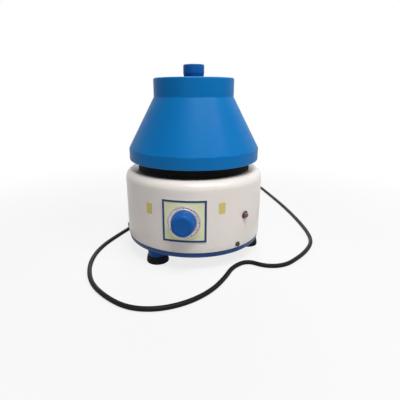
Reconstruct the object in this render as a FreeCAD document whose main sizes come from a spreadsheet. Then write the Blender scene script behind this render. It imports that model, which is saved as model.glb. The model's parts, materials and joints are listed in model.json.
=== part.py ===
"""Small round bench centrifuge with an angle head, as a parametric assembly of separate pieces.

Millimetres, +Z up. The origin lies on the table, under the spin axis, and the control knob faces -Y.
Angles round the drum are counted from the front (-Y) towards +X.
"""
import FreeCAD, Part
import math
import os
import re

import Sketcher
from FreeCAD import Vector

# Driving dimensions, in millimetres and degrees
SIZES = {
    # drum shell
    "shell_radius": 100,
    "shell_wall": 2,
    "drum_height": 94.7,
    "shoulder_radius": 12,
    # base pan
    "foot_height": 19.3,
    "rim_height": 7,
    "rim_inset": 1.4,
    "pan_wall": 2,
    "pan_collar_height": 12,
    "pan_clearance": 0.3,
    "pan_edge_radius": 4,
    "vent_circle": 27,
    "vent_radius": 4.5,
    "vent_count": 8,
    # feet
    "foot_inset": 16,
    "foot_angle": -30,
    "foot_count": 3,
    "stem_radius": 13.4,
    "rubber_radius": 15.5,
    "rubber_height": 10,
    "rubber_cup_radius": 11,
    "rubber_cup_depth": 5,
    "foot_bolt_radius": 3,
    "foot_bolt_head_radius": 5.5,
    "foot_bolt_head_height": 3.5,
    "foot_nut_radius": 5.8,
    "foot_nut_height": 5,
    "bolt_clearance": 0.3,
    "nut_clearance": 0.1,
    # screws that hold the shell to the pan
    "shell_screw_angle": 43,
    "shell_screw_count": 3,
    "shell_screw_rise": 5,
    "shell_screw_radius": 2,
    "shell_screw_head_radius": 3.4,
    "shell_screw_head_height": 1.8,
    "shell_screw_length": 8,
    # chamber bowl and gasket
    "bowl_step": 0.1,
    "bowl_wall": 1.5,
    "flange_gap": 1.1,
    "bowl_corner_radius": 6,
    "bowl_boss_clearance": 1.2,
    "gasket_height": 13,
    "gasket_inset": 3,
    "gasket_overlap": 1.5,
    "gasket_clearance": 0.2,
    # lid
    "lid_overhang": 13.7,
    "lid_wall": 3,
    "lid_band_height": 16.7,
    "lid_cone_height": 69.2,
    "lid_crown_radius": 56,
    "lid_crown_height": 25,
    "lid_edge_radius": 2.4,
    "crown_edge_radius": 2.5,
    "seat_ring_thickness": 3,
    "seat_ring_lip_depth": 4,
    "seat_ring_lip_wall": 1.8,
    "seat_ring_clearance": 0.3,
    "glue_gap": 0.1,
    "lid_knob_radius": 14.5,
    "lid_knob_height": 17.5,
    "lid_knob_edge_radius": 2,
    "lid_knob_foot_inset": 1.2,
    "lid_screw_radius": 2.5,
    "lid_screw_grip": 11,
    "lid_screw_head_radius": 4.6,
    "lid_screw_head_height": 3,
    "lid_washer_radius": 8,
    "lid_washer_thickness": 1.2,
    "screw_clearance": 0.2,
    # angle head
    "seat_count": 8,
    "seat_radius": 11,
    "seat_tilt": 20,
    "seat_depth": 84,
    "seat_floor_radius": 10.2,
    "seat_mouth_inset": 38,
    "seat_floor": 4.066,
    "head_wall": 2.4,
    "head_radius": 73,
    "head_clearance": 1.4,
    "head_foot_rise": 18.5,
    "head_foot_chamfer": 8,
    "head_hub_radius": 13,
    "hub_gap": 1,
    "head_web": 8,
    "head_dish_radius": 18,
    "shaft_fit": 0.02,
    "head_washer_radius": 11,
    "head_washer_thickness": 2,
    "head_nut_radius": 9.8,
    "head_nut_height": 8,
    "head_nut_dome_radius": 7.6,
    "head_nut_dome_height": 6,
    "shaft_thread_length": 9,
    # motor
    "shaft_radius": 5,
    "shaft_collar_radius": 7.6,
    "shaft_collar_height": 3,
    "bearing_radius": 15,
    "bearing_width": 9,
    "bearing_ring_wall": 3,
    "bearing_gap": 0.3,
    "bearing_fit": 0.05,
    "bearing_boss_wall": 3,
    "bearing_cover_thickness": 1.5,
    "bearing_cover_gap": 1,
    "bush_height": 5,
    "bush_radius": 7,
    "mount_reach": 5.5,
    "mount_count": 3,
    "mount_bolt_radius": 2.5,
    "mount_bolt_head_radius": 4.5,
    "mount_bolt_head_height": 3,
    "mount_nut_radius": 4.6,
    "mount_nut_height": 4,
    "bracket_edge": 4.5,
    "bracket_plate": 3.5,
    "bracket_wall": 3,
    "motor_gap": 3.5,
    "tie_count": 2,
    "tie_bolt_radius": 2,
    "tie_bolt_head_radius": 3.6,
    "tie_bolt_head_height": 2.8,
    "tie_nut_radius": 4,
    "tie_nut_height": 2.6,
    "stator_radius": 40,
    "stator_height": 22,
    "air_gap": 0.8,
    "stator_yoke": 6.5,
    "stator_window_half": 12,
    "coil_lining": 1.8,
    "coil_gap": 1.1,
    "coil_bar_width": 8.8,
    "coil_split": 1.6,
    "coil_end_gap": 0.6,
    "coil_end_height": 3.6,
    "armature_radius": 20,
    "armature_slots": 12,
    "armature_slot_depth": 4.5,
    "armature_slot_width": 2.4,
    "armature_overhang": 1,
    "winding_height": 3.6,
    "winding_inner_radius": 6.5,
    "winding_step": 0.5,
    "winding_gap": 1.4,
    "commutator_radius": 11,
    "commutator_height": 9,
    "commutator_gap": 1.2,
    "brush_radius": 3,
    "brush_gap": 0.3,
    "brush_length": 14,
    "brush_tube_wall": 1.4,
    "brush_stand_off": 2,
    "brush_tube_reach": 3,
    "brush_cap_radius": 5.2,
    "brush_cap_height": 3,
    "fan_clearance": 3,
    "fan_roof_gap": 1.7,
    "fan_hub_radius": 10,
    "fan_plate": 1.2,
    "fan_height": 5.5,
    "fan_blades": 9,
    "fan_blade_width": 1.4,
    "fan_gap": 1.2,
    # speed control
    "control_rise": 44,
    "plate_size": 56.5,
    "plate_thickness": 0.6,
    "sheet_gap": 0.05,
    "dial_radius": 21.5,
    "dial_thickness": 2.4,
    "dial_edge_radius": 0.8,
    "bush_thread_radius": 5,
    "bush_clearance": 0.3,
    "regulator_nut_radius": 8,
    "regulator_nut_height": 2.6,
    "regulator_shaft_radius": 3,
    "regulator_shaft_fit": 0.05,
    "regulator_radius": 22,
    "regulator_plate": 4,
    "regulator_boss_radius": 9,
    "regulator_boss_length": 5.5,
    "regulator_seat_gap": 0.45,
    "regulator_rim_wall": 2,
    "regulator_rim_length": 9,
    "winding_ring_inner": 13.5,
    "winding_ring_thickness": 8.5,
    "wiper_hub_radius": 6,
    "wiper_hub_length": 6,
    "wiper_width": 6,
    "wiper_thickness": 1.6,
    "wiper_clearance": 1.5,
    "wiper_gap": 0.3,
    "knob_radius": 16,
    "knob_face_radius": 13.8,
    "knob_height": 15,
    "knob_edge_radius": 1.6,
    "knob_skirt_gap": 0.5,
    "knob_cavity_radius": 10,
    "knob_cavity_depth": 5,
    "knob_bore_depth": 11,
    "set_screw_radius": 1.5,
    "set_screw_length": 7,
    "set_screw_height": 8,
    # pilot lamp
    "lamp_angle": 50,
    "lamp_radius": 4.2,
    "lamp_wall": 0.4,
    "lamp_flange_width": 0.8,
    "lamp_flange_thickness": 1.4,
    "lamp_barrel_length": 14,
    "lamp_dome_height": 3.4,
    "lamp_socket_depth": 5,
    "lamp_nut_radius": 7,
    "lamp_nut_height": 3,
    # strain relief and mains lead
    "gland_rise": 23,
    "gland_flange_radius": 8,
    "gland_flange_thickness": 3,
    "gland_barrel_radius": 5.6,
    "gland_barrel_length": 10,
    "gland_root_radius": 6.4,
    "gland_tip_radius": 4.3,
    "gland_length": 18.5,
    "gland_run": 26,
    "gland_nut_radius": 8.5,
    "gland_nut_height": 3.5,
    "cord_diameter": 6,
    "coil_radius": 37,
    "coil_turn_gap": 0.6,
    "coil_turns": 2.5,
    "tie_thickness": 0.8,
    "tie_width": 6,
    "tie_gap": 0.3,
    "plug_tail": 22,
    "plug_length": 44,
    "plug_width": 35,
    "plug_neck_width": 13,
    "plug_neck_length": 14,
    "plug_corner_radius": 5,
    "pin_radius": 2.4,
    "pin_length": 19,
    "pin_spacing": 19,
}

# Sizes that follow from the ones above, so that the pieces keep fitting together
FOLLOWERS = {
    # rings round the head, from the inside outwards
    "mouth_radius": "head_radius + head_clearance + seat_ring_lip_wall + seat_ring_clearance + gasket_inset",
    "bowl_radius": "mouth_radius - gasket_inset - bowl_step",
    "shoulder_fillet": "min(shoulder_radius; shell_radius - mouth_radius - gasket_overlap)",
    "bowl_flange_radius": "shell_radius - shoulder_fillet - flange_gap",
    "lid_radius": "mouth_radius + lid_overhang",
    "seat_mouth_radius": "head_radius - seat_mouth_inset",
    "foot_circle": "shell_radius - foot_inset",
    # motor
    "mount_circle": "stator_radius + mount_reach",
    "bracket_radius": "mount_circle + bracket_edge",
    "stator_bore_radius": "armature_radius + air_gap",
    "stator_window_reach": "stator_radius - stator_yoke",
    "coil_inner_radius": "stator_bore_radius + coil_lining",
    "coil_outer_radius": "stator_window_reach - coil_gap",
    "winding_outer_radius": "armature_radius - armature_slot_depth - winding_step",
    "brush_tube_start": "commutator_radius + brush_stand_off",
    "brush_tube_end": "stator_radius + brush_tube_reach",
    "fan_radius": "stator_radius - bracket_wall - fan_clearance",
    # control and lamp
    "wiper_reach": "regulator_radius - regulator_rim_wall - wiper_clearance",
    "lamp_barrel_radius": "lamp_radius + lamp_wall",
    "lamp_flange_radius": "lamp_barrel_radius + lamp_flange_width",
}

# Levels above the table, as expressions on the sizes
PAN_FLOOR = "(foot_height + pan_wall)"
SHELL_BASE = "(foot_height + rim_height)"
SHELL_TOP = "(foot_height + rim_height + drum_height)"
LEDGE_UNDERSIDE = f"({SHELL_TOP} - shell_wall)"
LID_BASE = f"({SHELL_TOP} + gasket_height)"
BAND_TOP = f"({LID_BASE} + lid_band_height)"
CONE_TOP = f"({BAND_TOP} + lid_cone_height)"
CROWN_TOP = f"({CONE_TOP} + lid_crown_height)"
BRACKET_BASE = f"({PAN_FLOOR} + bush_height)"
LOWER_SEAT = f"({BRACKET_BASE} + bracket_plate)"
COMMUTATOR_BASE = f"({LOWER_SEAT} + bearing_width + commutator_gap)"
BRUSH_LEVEL = f"({COMMUTATOR_BASE} + commutator_height/2)"
ARMATURE_BASE = f"({COMMUTATOR_BASE} + commutator_height + winding_gap + winding_height)"
STATOR_BASE = f"({ARMATURE_BASE} + armature_overhang)"
STATOR_TOP = f"({STATOR_BASE} + stator_height)"
ARMATURE_TOP = f"({STATOR_TOP} + armature_overhang)"
FAN_BASE = f"({ARMATURE_TOP} + winding_height + fan_gap)"
UPPER_PLATE = f"({FAN_BASE} + fan_height + fan_roof_gap)"
UPPER_SEAT = f"({UPPER_PLATE} + bracket_plate)"
BOSS_TOP = f"({UPPER_SEAT} + bearing_width)"
BOWL_FLOOR = f"({UPPER_SEAT} + motor_gap + bowl_wall)"
HUB_BASE = f"({BOSS_TOP} + bearing_cover_thickness + hub_gap + shaft_collar_height)"
HEAD_BASE = f"({BOWL_FLOOR} + head_foot_rise)"
MOUTH_LEVEL = f"({HEAD_BASE} + seat_floor + seat_depth*cos(seat_tilt))"
DISH_LEVEL = f"({MOUTH_LEVEL} - (seat_mouth_radius - head_dish_radius)*tan(seat_tilt))"
CONTROL_LEVEL = f"({SHELL_BASE} + control_rise)"
GLAND_LEVEL = f"({SHELL_BASE} + gland_rise)"
SCREW_LEVEL = f"({SHELL_BASE} + shell_screw_rise)"

# Distances from the spin axis of what stands on the drum's front
DIAL_BACK = "(shell_radius + 2*sheet_gap + plate_thickness)"
DIAL_FRONT = f"({DIAL_BACK} + dial_thickness)"
SHELL_INSIDE = "(shell_radius - shell_wall)"
REGULATOR_FACE = f"({SHELL_INSIDE} - regulator_seat_gap - regulator_boss_length)"
REGULATOR_BACK = f"({REGULATOR_FACE} - regulator_plate)"
WINDING_BACK = f"({REGULATOR_BACK} - winding_ring_thickness)"
KNOB_BASE = f"({DIAL_FRONT} + knob_skirt_gap)"

doc = FreeCAD.newDocument("bench_centrifuge")
dims = doc.addObject("Spreadsheet::Sheet", "dims")
pieces = []
WORD = re.compile(r"[a-z_]+")


def fill_sheet():
    """Write every driving dimension to a cell with its name as the alias."""
    for row, (name, number) in enumerate(SIZES.items(), start=1):
        dims.set(f"A{row}", name)
        dims.set(f"B{row}", str(number))
        dims.setAlias(f"B{row}", name)
    doc.recompute()


def tied(text):
    """Expression in which driving dimensions are read from the sheet and following sizes are written out."""
    def from_sheet(match):
        name = match.group()
        if name in FOLLOWERS:
            return f"({tied(FOLLOWERS[name])})"
        return f"dims.{name}" if name in SIZES else name
    return WORD.sub(from_sheet, str(text))


def size(text):
    """Present value of an expression on the driving dimensions."""
    return float(dims.evalExpression(tied(text)))


def bind(thing, name, text):
    """Tie one property of an object to the sheet."""
    thing.setExpression(name, tied(text))


def new_body(label, placement=None):
    """Empty body that becomes one piece of the assembly."""
    body = doc.addObject("PartDesign::Body", label)
    body.Label = label
    if placement:
        bind(body, "Placement", placement)
    pieces.append(body)
    return body


def standing(angle, level):
    """Placement of a piece whose own +Z points out of the drum at an angle, at a level."""
    return f"placement(vector(0; 0; {level}); rotation({angle}; 0; 90))"


def turned(angle):
    """Placement of a piece that is drawn on +X and belongs at an angle from the front."""
    return f"placement(vector(0; 0; 0); rotation({angle} - 90; 0; 0))"


def origin_feature(body, role):
    """Plane or axis of the body's own origin."""
    return next(feature for feature in body.Origin.OriginFeatures if feature.Role == role)


def new_sketch(body, plane="XZ_Plane", turn="0", lift="0"):
    """Sketch on an origin plane, turned about its upright direction, then lifted along its own normal."""
    sketch = body.newObject("Sketcher::SketchObject", body.Label + "_sketch")
    sketch.AttachmentSupport = [(origin_feature(body, plane), "")]
    sketch.MapMode = "FlatFace"
    spot = f"vector(({lift})*sin({turn}); 0; ({lift})*cos({turn}))"
    bind(sketch, "AttachmentOffset", f"placement({spot}; rotation(vector(0; 1; 0); {turn}))")
    return sketch


def fix_point(sketch, element, position, across, up):
    """Hold one point of a sketch at a pair of expressions."""
    for kind, text in (("DistanceX", across), ("DistanceY", up)):
        row = sketch.addConstraint(Sketcher.Constraint(kind, -1, 1, element, position, size(text)))
        bind(sketch, f"Constraints[{row}]", text)


def fix_radius(sketch, element, text):
    """Hold the radius of a circle or an arc at an expression."""
    row = sketch.addConstraint(Sketcher.Constraint("Radius", element, size(text)))
    bind(sketch, f"Constraints[{row}]", text)


def angle_of(spot, centre):
    """Direction of a point seen from a centre, in radians."""
    return math.atan2(spot.y - centre.y, spot.x - centre.x)


def draw_outline(sketch, corners):
    """Closed outline. A corner is a pair of expressions, with a rounding radius as an optional third."""
    count = len(corners)
    spots = [Vector(size(corner[0]), size(corner[1]), 0) for corner in corners]
    entries, exits, roundings = list(spots), list(spots), {}
    for i, corner in enumerate(corners):
        if len(corner) == 3:
            back = (spots[i - 1] - spots[i]).normalize()
            ahead = (spots[(i + 1) % count] - spots[i]).normalize()
            half = back.getAngle(ahead) / 2
            radius = size(corner[2])
            entries[i] = spots[i] + back * (radius / math.tan(half))
            exits[i] = spots[i] + ahead * (radius / math.tan(half))
            centre = spots[i] + (back + ahead).normalize() * (radius / math.sin(half))
            roundings[i] = (centre, radius, back.cross(ahead).z < 0)
    first = sketch.GeometryCount
    for i in range(count):
        sketch.addGeometry(Part.LineSegment(exits[i], entries[(i + 1) % count]), False)
    for i, corner in enumerate(corners):
        line, before = first + i, first + (i - 1) % count
        if i in roundings:
            round_corner(sketch, corner, before, line, entries[i], exits[i], spots[i], *roundings[i])
        else:
            sketch.addConstraint(Sketcher.Constraint("Coincident", before, 2, line, 1))
            fix_point(sketch, line, 1, corner[0], corner[1])


def round_corner(sketch, corner, before, line, entry, leave, spot, centre, radius, leftward):
    """Tangent arc between two lines of an outline, held by the corner point that it rounds off."""
    circle = Part.Circle(centre, Vector(0, 0, 1), radius)
    start, end = (entry, leave) if leftward else (leave, entry)
    arc = sketch.addGeometry(Part.ArcOfCircle(circle, angle_of(start, centre), angle_of(end, centre)), False)
    enters, leaves = (1, 2) if leftward else (2, 1)
    sketch.addConstraint(Sketcher.Constraint("Tangent", before, 2, arc, enters))
    sketch.addConstraint(Sketcher.Constraint("Tangent", arc, leaves, line, 1))
    point = sketch.addGeometry(Part.Point(spot), True)
    sketch.addConstraint(Sketcher.Constraint("PointOnObject", point, 1, before))
    sketch.addConstraint(Sketcher.Constraint("PointOnObject", point, 1, line))
    fix_radius(sketch, arc, corner[2])
    fix_point(sketch, point, 1, corner[0], corner[1])


def draw_circle(sketch, across, up, radius):
    """Circle with its centre and radius tied to the sheet."""
    circle = Part.Circle(Vector(size(across), size(up), 0), Vector(0, 0, 1), size(radius))
    element = sketch.addGeometry(circle, False)
    fix_point(sketch, element, 3, across, up)
    fix_radius(sketch, element, radius)


def draw_hexagon(sketch, across, up, radius):
    """Hexagon about a centre, with its corners on a circle of that radius."""
    angles = [60 * step for step in range(6)]
    draw_outline(sketch, [(f"{across} + {radius}*cos({a})", f"{up} + {radius}*sin({a})") for a in angles])


def turn_about(feature, sketch, axis):
    """Set a turned feature's axis: the upright one, or a line between two pairs of expressions."""
    if axis is None:
        feature.ReferenceAxis = (sketch, ["V_Axis"])
        return
    ends = [Vector(size(across), size(up), 0) for across, up in axis]
    line = sketch.addGeometry(Part.LineSegment(*ends), True)
    fix_point(sketch, line, 1, *axis[0])
    fix_point(sketch, line, 2, *axis[1])
    feature.ReferenceAxis = (sketch, ["Axis0"])


def turn(body, corners, axis=None, sweep="360", **place):
    """Add a solid turned from an outline. A part turn is even on both sides of the sketch."""
    sketch = new_sketch(body, **place)
    feature = body.newObject("PartDesign::Revolution", body.Label + "_turning")
    turn_about(feature, sketch, axis)
    draw_outline(sketch, corners)
    feature.Profile = sketch
    feature.Midplane = sweep != "360"
    bind(feature, "Angle", sweep)
    return feature


def groove(body, corners, axis=None, **place):
    """Cut away a solid turned from an outline."""
    sketch = new_sketch(body, **place)
    feature = body.newObject("PartDesign::Groove", body.Label + "_groove")
    turn_about(feature, sketch, axis)
    draw_outline(sketch, corners)
    feature.Profile = sketch
    feature.Angle = 360
    return feature


def pad(body, draw, length, plane="XY_Plane", midplane=False, **place):
    """Add a prism: draw is called with the sketch."""
    sketch = new_sketch(body, plane, **place)
    draw(sketch)
    feature = body.newObject("PartDesign::Pad", body.Label + "_pad")
    feature.Profile = sketch
    feature.Midplane = midplane
    bind(feature, "Length", length)
    return feature


def pocket(body, draw, length, plane="XY_Plane", midplane=False, **place):
    """Cut away a prism along the sketch's own direction: draw is called with the sketch."""
    sketch = new_sketch(body, plane, **place)
    draw(sketch)
    feature = body.newObject("PartDesign::Pocket", body.Label + "_pocket")
    feature.Profile = sketch
    feature.Midplane = midplane
    feature.Reversed = not midplane
    bind(feature, "Length", length)
    return feature


def radial_hole(body, angle, level, radius, reach="1.2*shell_radius"):
    """Round hole from the spin axis outwards, at an angle and a level."""
    return pocket(body, lambda sketch: draw_circle(sketch, "0", level, radius), reach, "XZ_Plane", turn=angle)


def upright_hole(body, across, radius, base, top):
    """Round hole along Z on the +X side of a body."""
    length = f"({top}) - ({base})"
    return pocket(body, lambda sketch: draw_circle(sketch, across, "0", radius), length, lift=base)


def around(body, feature, count):
    """Repeat a feature evenly about the body's upright axis."""
    pattern = body.newObject("PartDesign::PolarPattern", body.Label + "_pattern")
    pattern.Originals = [feature]
    pattern.Axis = (origin_feature(body, "Z_Axis"), [""])
    pattern.Angle = 360
    bind(pattern, "Occurrences", count)
    body.Tip = pattern


def ring(inner, outer, base, top):
    """Outline of a plain ring."""
    return [(inner, base), (outer, base), (outer, top), (inner, top)]


def rod(radius, base, top, head_radius=None, head_height="0"):
    """Outline of a rod with an optional head below its base."""
    corners = [("0", f"{base} - {head_height}"), (radius, f"{base} - {head_height}")]
    if head_radius:
        corners = [("0", f"{base} - {head_height}"), (head_radius, f"{base} - {head_height}"),
                   (head_radius, base), (radius, base)]
    return corners + [(radius, top), ("0", top)]


def beside(corners, across):
    """The same outline moved out along X."""
    return [(f"{across} + {corner[0]}",) + tuple(corner[1:]) for corner in corners]


def upright(across, base, top):
    """Upright axis at a distance from the spin axis."""
    return [(across, base), (across, top)]


def upright_bolts(label, across, outline, nut, count, placement=None):
    """Group of upright bolts on a circle, with a hexagon nut (radius, bore, base, height) on each."""
    body = new_body(label, placement)
    around(body, turn(body, beside(outline, across), upright(across, "0", PAN_FLOOR)), count)
    radius, bore, base, height = nut

    def draw(sketch):
        draw_hexagon(sketch, across, "0", radius)
        draw_circle(sketch, across, "0", bore)
    around(body, pad(body, draw, height, lift=base), count)


def build_drum():
    """Shell, base pan and the screws between them."""
    shell = new_body("body_shell")
    turn(shell, [
        (SHELL_INSIDE, SHELL_BASE),
        ("shell_radius", SHELL_BASE),
        ("shell_radius", SHELL_TOP, "shoulder_fillet"),
        ("mouth_radius", SHELL_TOP),
        ("mouth_radius", LEDGE_UNDERSIDE),
        (SHELL_INSIDE, LEDGE_UNDERSIDE, "shoulder_fillet - shell_wall"),
    ])
    radial_hole(shell, "0", CONTROL_LEVEL, "bush_thread_radius + bush_clearance")
    radial_hole(shell, "lamp_angle", CONTROL_LEVEL, "lamp_barrel_radius + bush_clearance")
    radial_hole(shell, "180", GLAND_LEVEL, "gland_barrel_radius + bush_clearance")
    screw_hole = "shell_screw_radius + bolt_clearance"
    around(shell, radial_hole(shell, "shell_screw_angle", SCREW_LEVEL, screw_hole), "shell_screw_count")

    pan = new_body("base_pan")
    rim = "(shell_radius - rim_inset)"
    collar = f"({SHELL_INSIDE} - pan_clearance)"
    collar_top = f"({SHELL_BASE} + pan_collar_height)"
    turn(pan, [
        ("0", "foot_height"),
        (rim, "foot_height", "pan_edge_radius"),
        (rim, SHELL_BASE),
        (collar, SHELL_BASE),
        (collar, collar_top),
        (f"{collar} - pan_wall", collar_top),
        (f"{collar} - pan_wall", PAN_FLOOR, "pan_edge_radius - pan_wall"),
        ("0", PAN_FLOOR),
    ])
    around(pan, radial_hole(pan, "shell_screw_angle", SCREW_LEVEL, screw_hole), "shell_screw_count")
    under, over = "foot_height - pan_wall", f"{PAN_FLOOR} + pan_wall"
    around(pan, upright_hole(pan, "vent_circle", "vent_radius", under, over), "vent_count")
    bolt_hole = upright_hole(pan, "mount_circle", "mount_bolt_radius + bolt_clearance", under, over)
    around(pan, bolt_hole, "mount_count")

    def draw_foot_hole(sketch):
        across, up = "foot_circle*sin(foot_angle)", "-foot_circle*cos(foot_angle)"
        draw_circle(sketch, across, up, "foot_bolt_radius + bolt_clearance")
    around(pan, pocket(pan, draw_foot_hole, f"{over} - ({under})", lift=under), "foot_count")

    screws = new_body("shell_screws", turned("shell_screw_angle"))
    tip = "shell_radius - shell_screw_length"
    head = "shell_radius + sheet_gap"
    around(screws, turn(screws, [
        (tip, SCREW_LEVEL),
        (tip, f"{SCREW_LEVEL} + shell_screw_radius"),
        (head, f"{SCREW_LEVEL} + shell_screw_radius"),
        (head, f"{SCREW_LEVEL} + shell_screw_head_radius"),
        (f"{head} + shell_screw_head_height", f"{SCREW_LEVEL} + shell_screw_head_radius",
         "0.6*shell_screw_head_height"),
        (f"{head} + shell_screw_head_height", SCREW_LEVEL),
    ], [("0", SCREW_LEVEL), ("shell_radius", SCREW_LEVEL)]), "shell_screw_count")


def build_feet():
    """Three blue stems on rubber cups, each bolted through to the pan."""
    bore = "(foot_bolt_radius + bolt_clearance)"
    for step, side in enumerate(("front", "right", "rear")):
        angle = f"(foot_angle + {step}*360/foot_count)"
        spot = f"vector(foot_circle*sin({angle}); -foot_circle*cos({angle}); 0)"
        place = f"placement({spot}; rotation(0; 0; 0))"
        stem = new_body(f"{side}_foot_stem", place)
        turn(stem, ring(bore, "stem_radius", "rubber_height", "foot_height"))
        rubber = new_body(f"{side}_rubber_foot", place)
        turn(rubber, [
            (bore, "rubber_cup_depth"),
            ("0.75*rubber_cup_radius", "rubber_cup_depth"),
            ("rubber_cup_radius", "0"),
            ("rubber_radius", "0"),
            ("rubber_radius", "0.3*rubber_height", "0.1*rubber_height"),
            ("stem_radius + 0.4*(rubber_radius - stem_radius)", "rubber_height"),
            (bore, "rubber_height"),
        ])
    bolt_top = f"{PAN_FLOOR} + 1.4*foot_nut_height"
    outline = rod("foot_bolt_radius", "rubber_cup_depth", bolt_top,
                  "foot_bolt_head_radius", "foot_bolt_head_height")
    nut = ("foot_nut_radius", "foot_bolt_radius + nut_clearance", PAN_FLOOR, "foot_nut_height")
    upright_bolts("foot_bolts", "foot_circle", outline, nut, "foot_count", turned("foot_angle"))


def build_chamber():
    """Bowl that hangs under the ledge, and the rubber ring round the mouth."""
    bowl = new_body("chamber_bowl")
    outer = "(bowl_radius + bowl_wall)"
    boss_hole = "(bearing_radius + bearing_boss_wall + bowl_boss_clearance)"
    turn(bowl, [
        (boss_hole, f"{BOWL_FLOOR} - bowl_wall"),
        (outer, f"{BOWL_FLOOR} - bowl_wall", "bowl_corner_radius + bowl_wall"),
        (outer, f"{LEDGE_UNDERSIDE} - bowl_wall"),
        ("bowl_flange_radius", f"{LEDGE_UNDERSIDE} - bowl_wall"),
        ("bowl_flange_radius", LEDGE_UNDERSIDE),
        ("bowl_radius", LEDGE_UNDERSIDE),
        ("bowl_radius", BOWL_FLOOR, "bowl_corner_radius"),
        (boss_hole, BOWL_FLOOR),
    ])
    gasket = new_body("mouth_gasket")
    inner = "(mouth_radius - gasket_inset)"
    key = "(mouth_radius - gasket_clearance)"
    lip = "(mouth_radius + gasket_overlap)"
    turn(gasket, [
        (inner, LEDGE_UNDERSIDE),
        (key, LEDGE_UNDERSIDE),
        (key, SHELL_TOP),
        (lip, SHELL_TOP),
        (lip, LID_BASE, "0.3*gasket_overlap"),
        (inner, LID_BASE, "0.3*gasket_overlap"),
    ])


def build_lid():
    """Hollow lid with its seat ring, and the knob that lifts it."""
    shell = new_body("lid_shell")
    hole = "(lid_screw_radius + screw_clearance)"
    inside = "(lid_radius - lid_wall)"
    crown_inside = "(lid_crown_radius - lid_wall)"
    slope = "((lid_radius - lid_crown_radius)/lid_cone_height)"
    drop = f"(lid_wall*(sqrt(1 + {slope}^2) - 1)/{slope})"
    turn(shell, [
        (inside, LID_BASE),
        ("lid_radius", LID_BASE, "lid_edge_radius"),
        ("lid_radius", BAND_TOP, "lid_edge_radius"),
        ("lid_crown_radius", CONE_TOP),
        ("lid_crown_radius", CROWN_TOP, "crown_edge_radius"),
        (hole, CROWN_TOP),
        (hole, f"{CROWN_TOP} - lid_wall"),
        (crown_inside, f"{CROWN_TOP} - lid_wall"),
        (crown_inside, f"{CONE_TOP} - {drop}"),
        (inside, f"{BAND_TOP} - {drop}"),
    ])
    seat = new_body("lid_seat_ring")
    lip_outer = "(mouth_radius - gasket_inset - seat_ring_clearance)"
    lip_inner = f"({lip_outer} - seat_ring_lip_wall)"
    turn(seat, [
        (lip_inner, f"{LID_BASE} - seat_ring_lip_depth"),
        (lip_outer, f"{LID_BASE} - seat_ring_lip_depth"),
        (lip_outer, LID_BASE),
        (f"{inside} - glue_gap", LID_BASE),
        (f"{inside} - glue_gap", f"{LID_BASE} + seat_ring_thickness"),
        (lip_inner, f"{LID_BASE} + seat_ring_thickness"),
    ])
    knob = new_body("lid_knob")
    knob_top = f"({CROWN_TOP} + lid_knob_height)"
    turn(knob, [
        (hole, CROWN_TOP),
        ("lid_knob_radius - lid_knob_foot_inset", CROWN_TOP),
        ("lid_knob_radius", f"{CROWN_TOP} + 0.35*lid_knob_height"),
        ("lid_knob_radius", knob_top, "lid_knob_edge_radius"),
        ("0", knob_top),
        ("0", f"{CROWN_TOP} + lid_screw_grip + glue_gap"),
        (hole, f"{CROWN_TOP} + lid_screw_grip + glue_gap"),
    ])
    under = f"({CROWN_TOP} - lid_wall)"
    washer_base = f"({under} - lid_washer_thickness)"
    turn(new_body("lid_knob_washer"), ring(hole, "lid_washer_radius", washer_base, under))
    turn(new_body("lid_knob_screw"), rod(
        "lid_screw_radius", washer_base, f"{CROWN_TOP} + lid_screw_grip",
        "lid_screw_head_radius", "lid_screw_head_height"))


def seat_point(depth, offset):
    """Point given by its depth down a seat's axis and its distance outwards from that axis."""
    return (f"(seat_mouth_radius + ({depth})*sin(seat_tilt) + ({offset})*cos(seat_tilt))",
            f"({MOUTH_LEVEL} - ({depth})*cos(seat_tilt) + ({offset})*sin(seat_tilt))")


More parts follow.
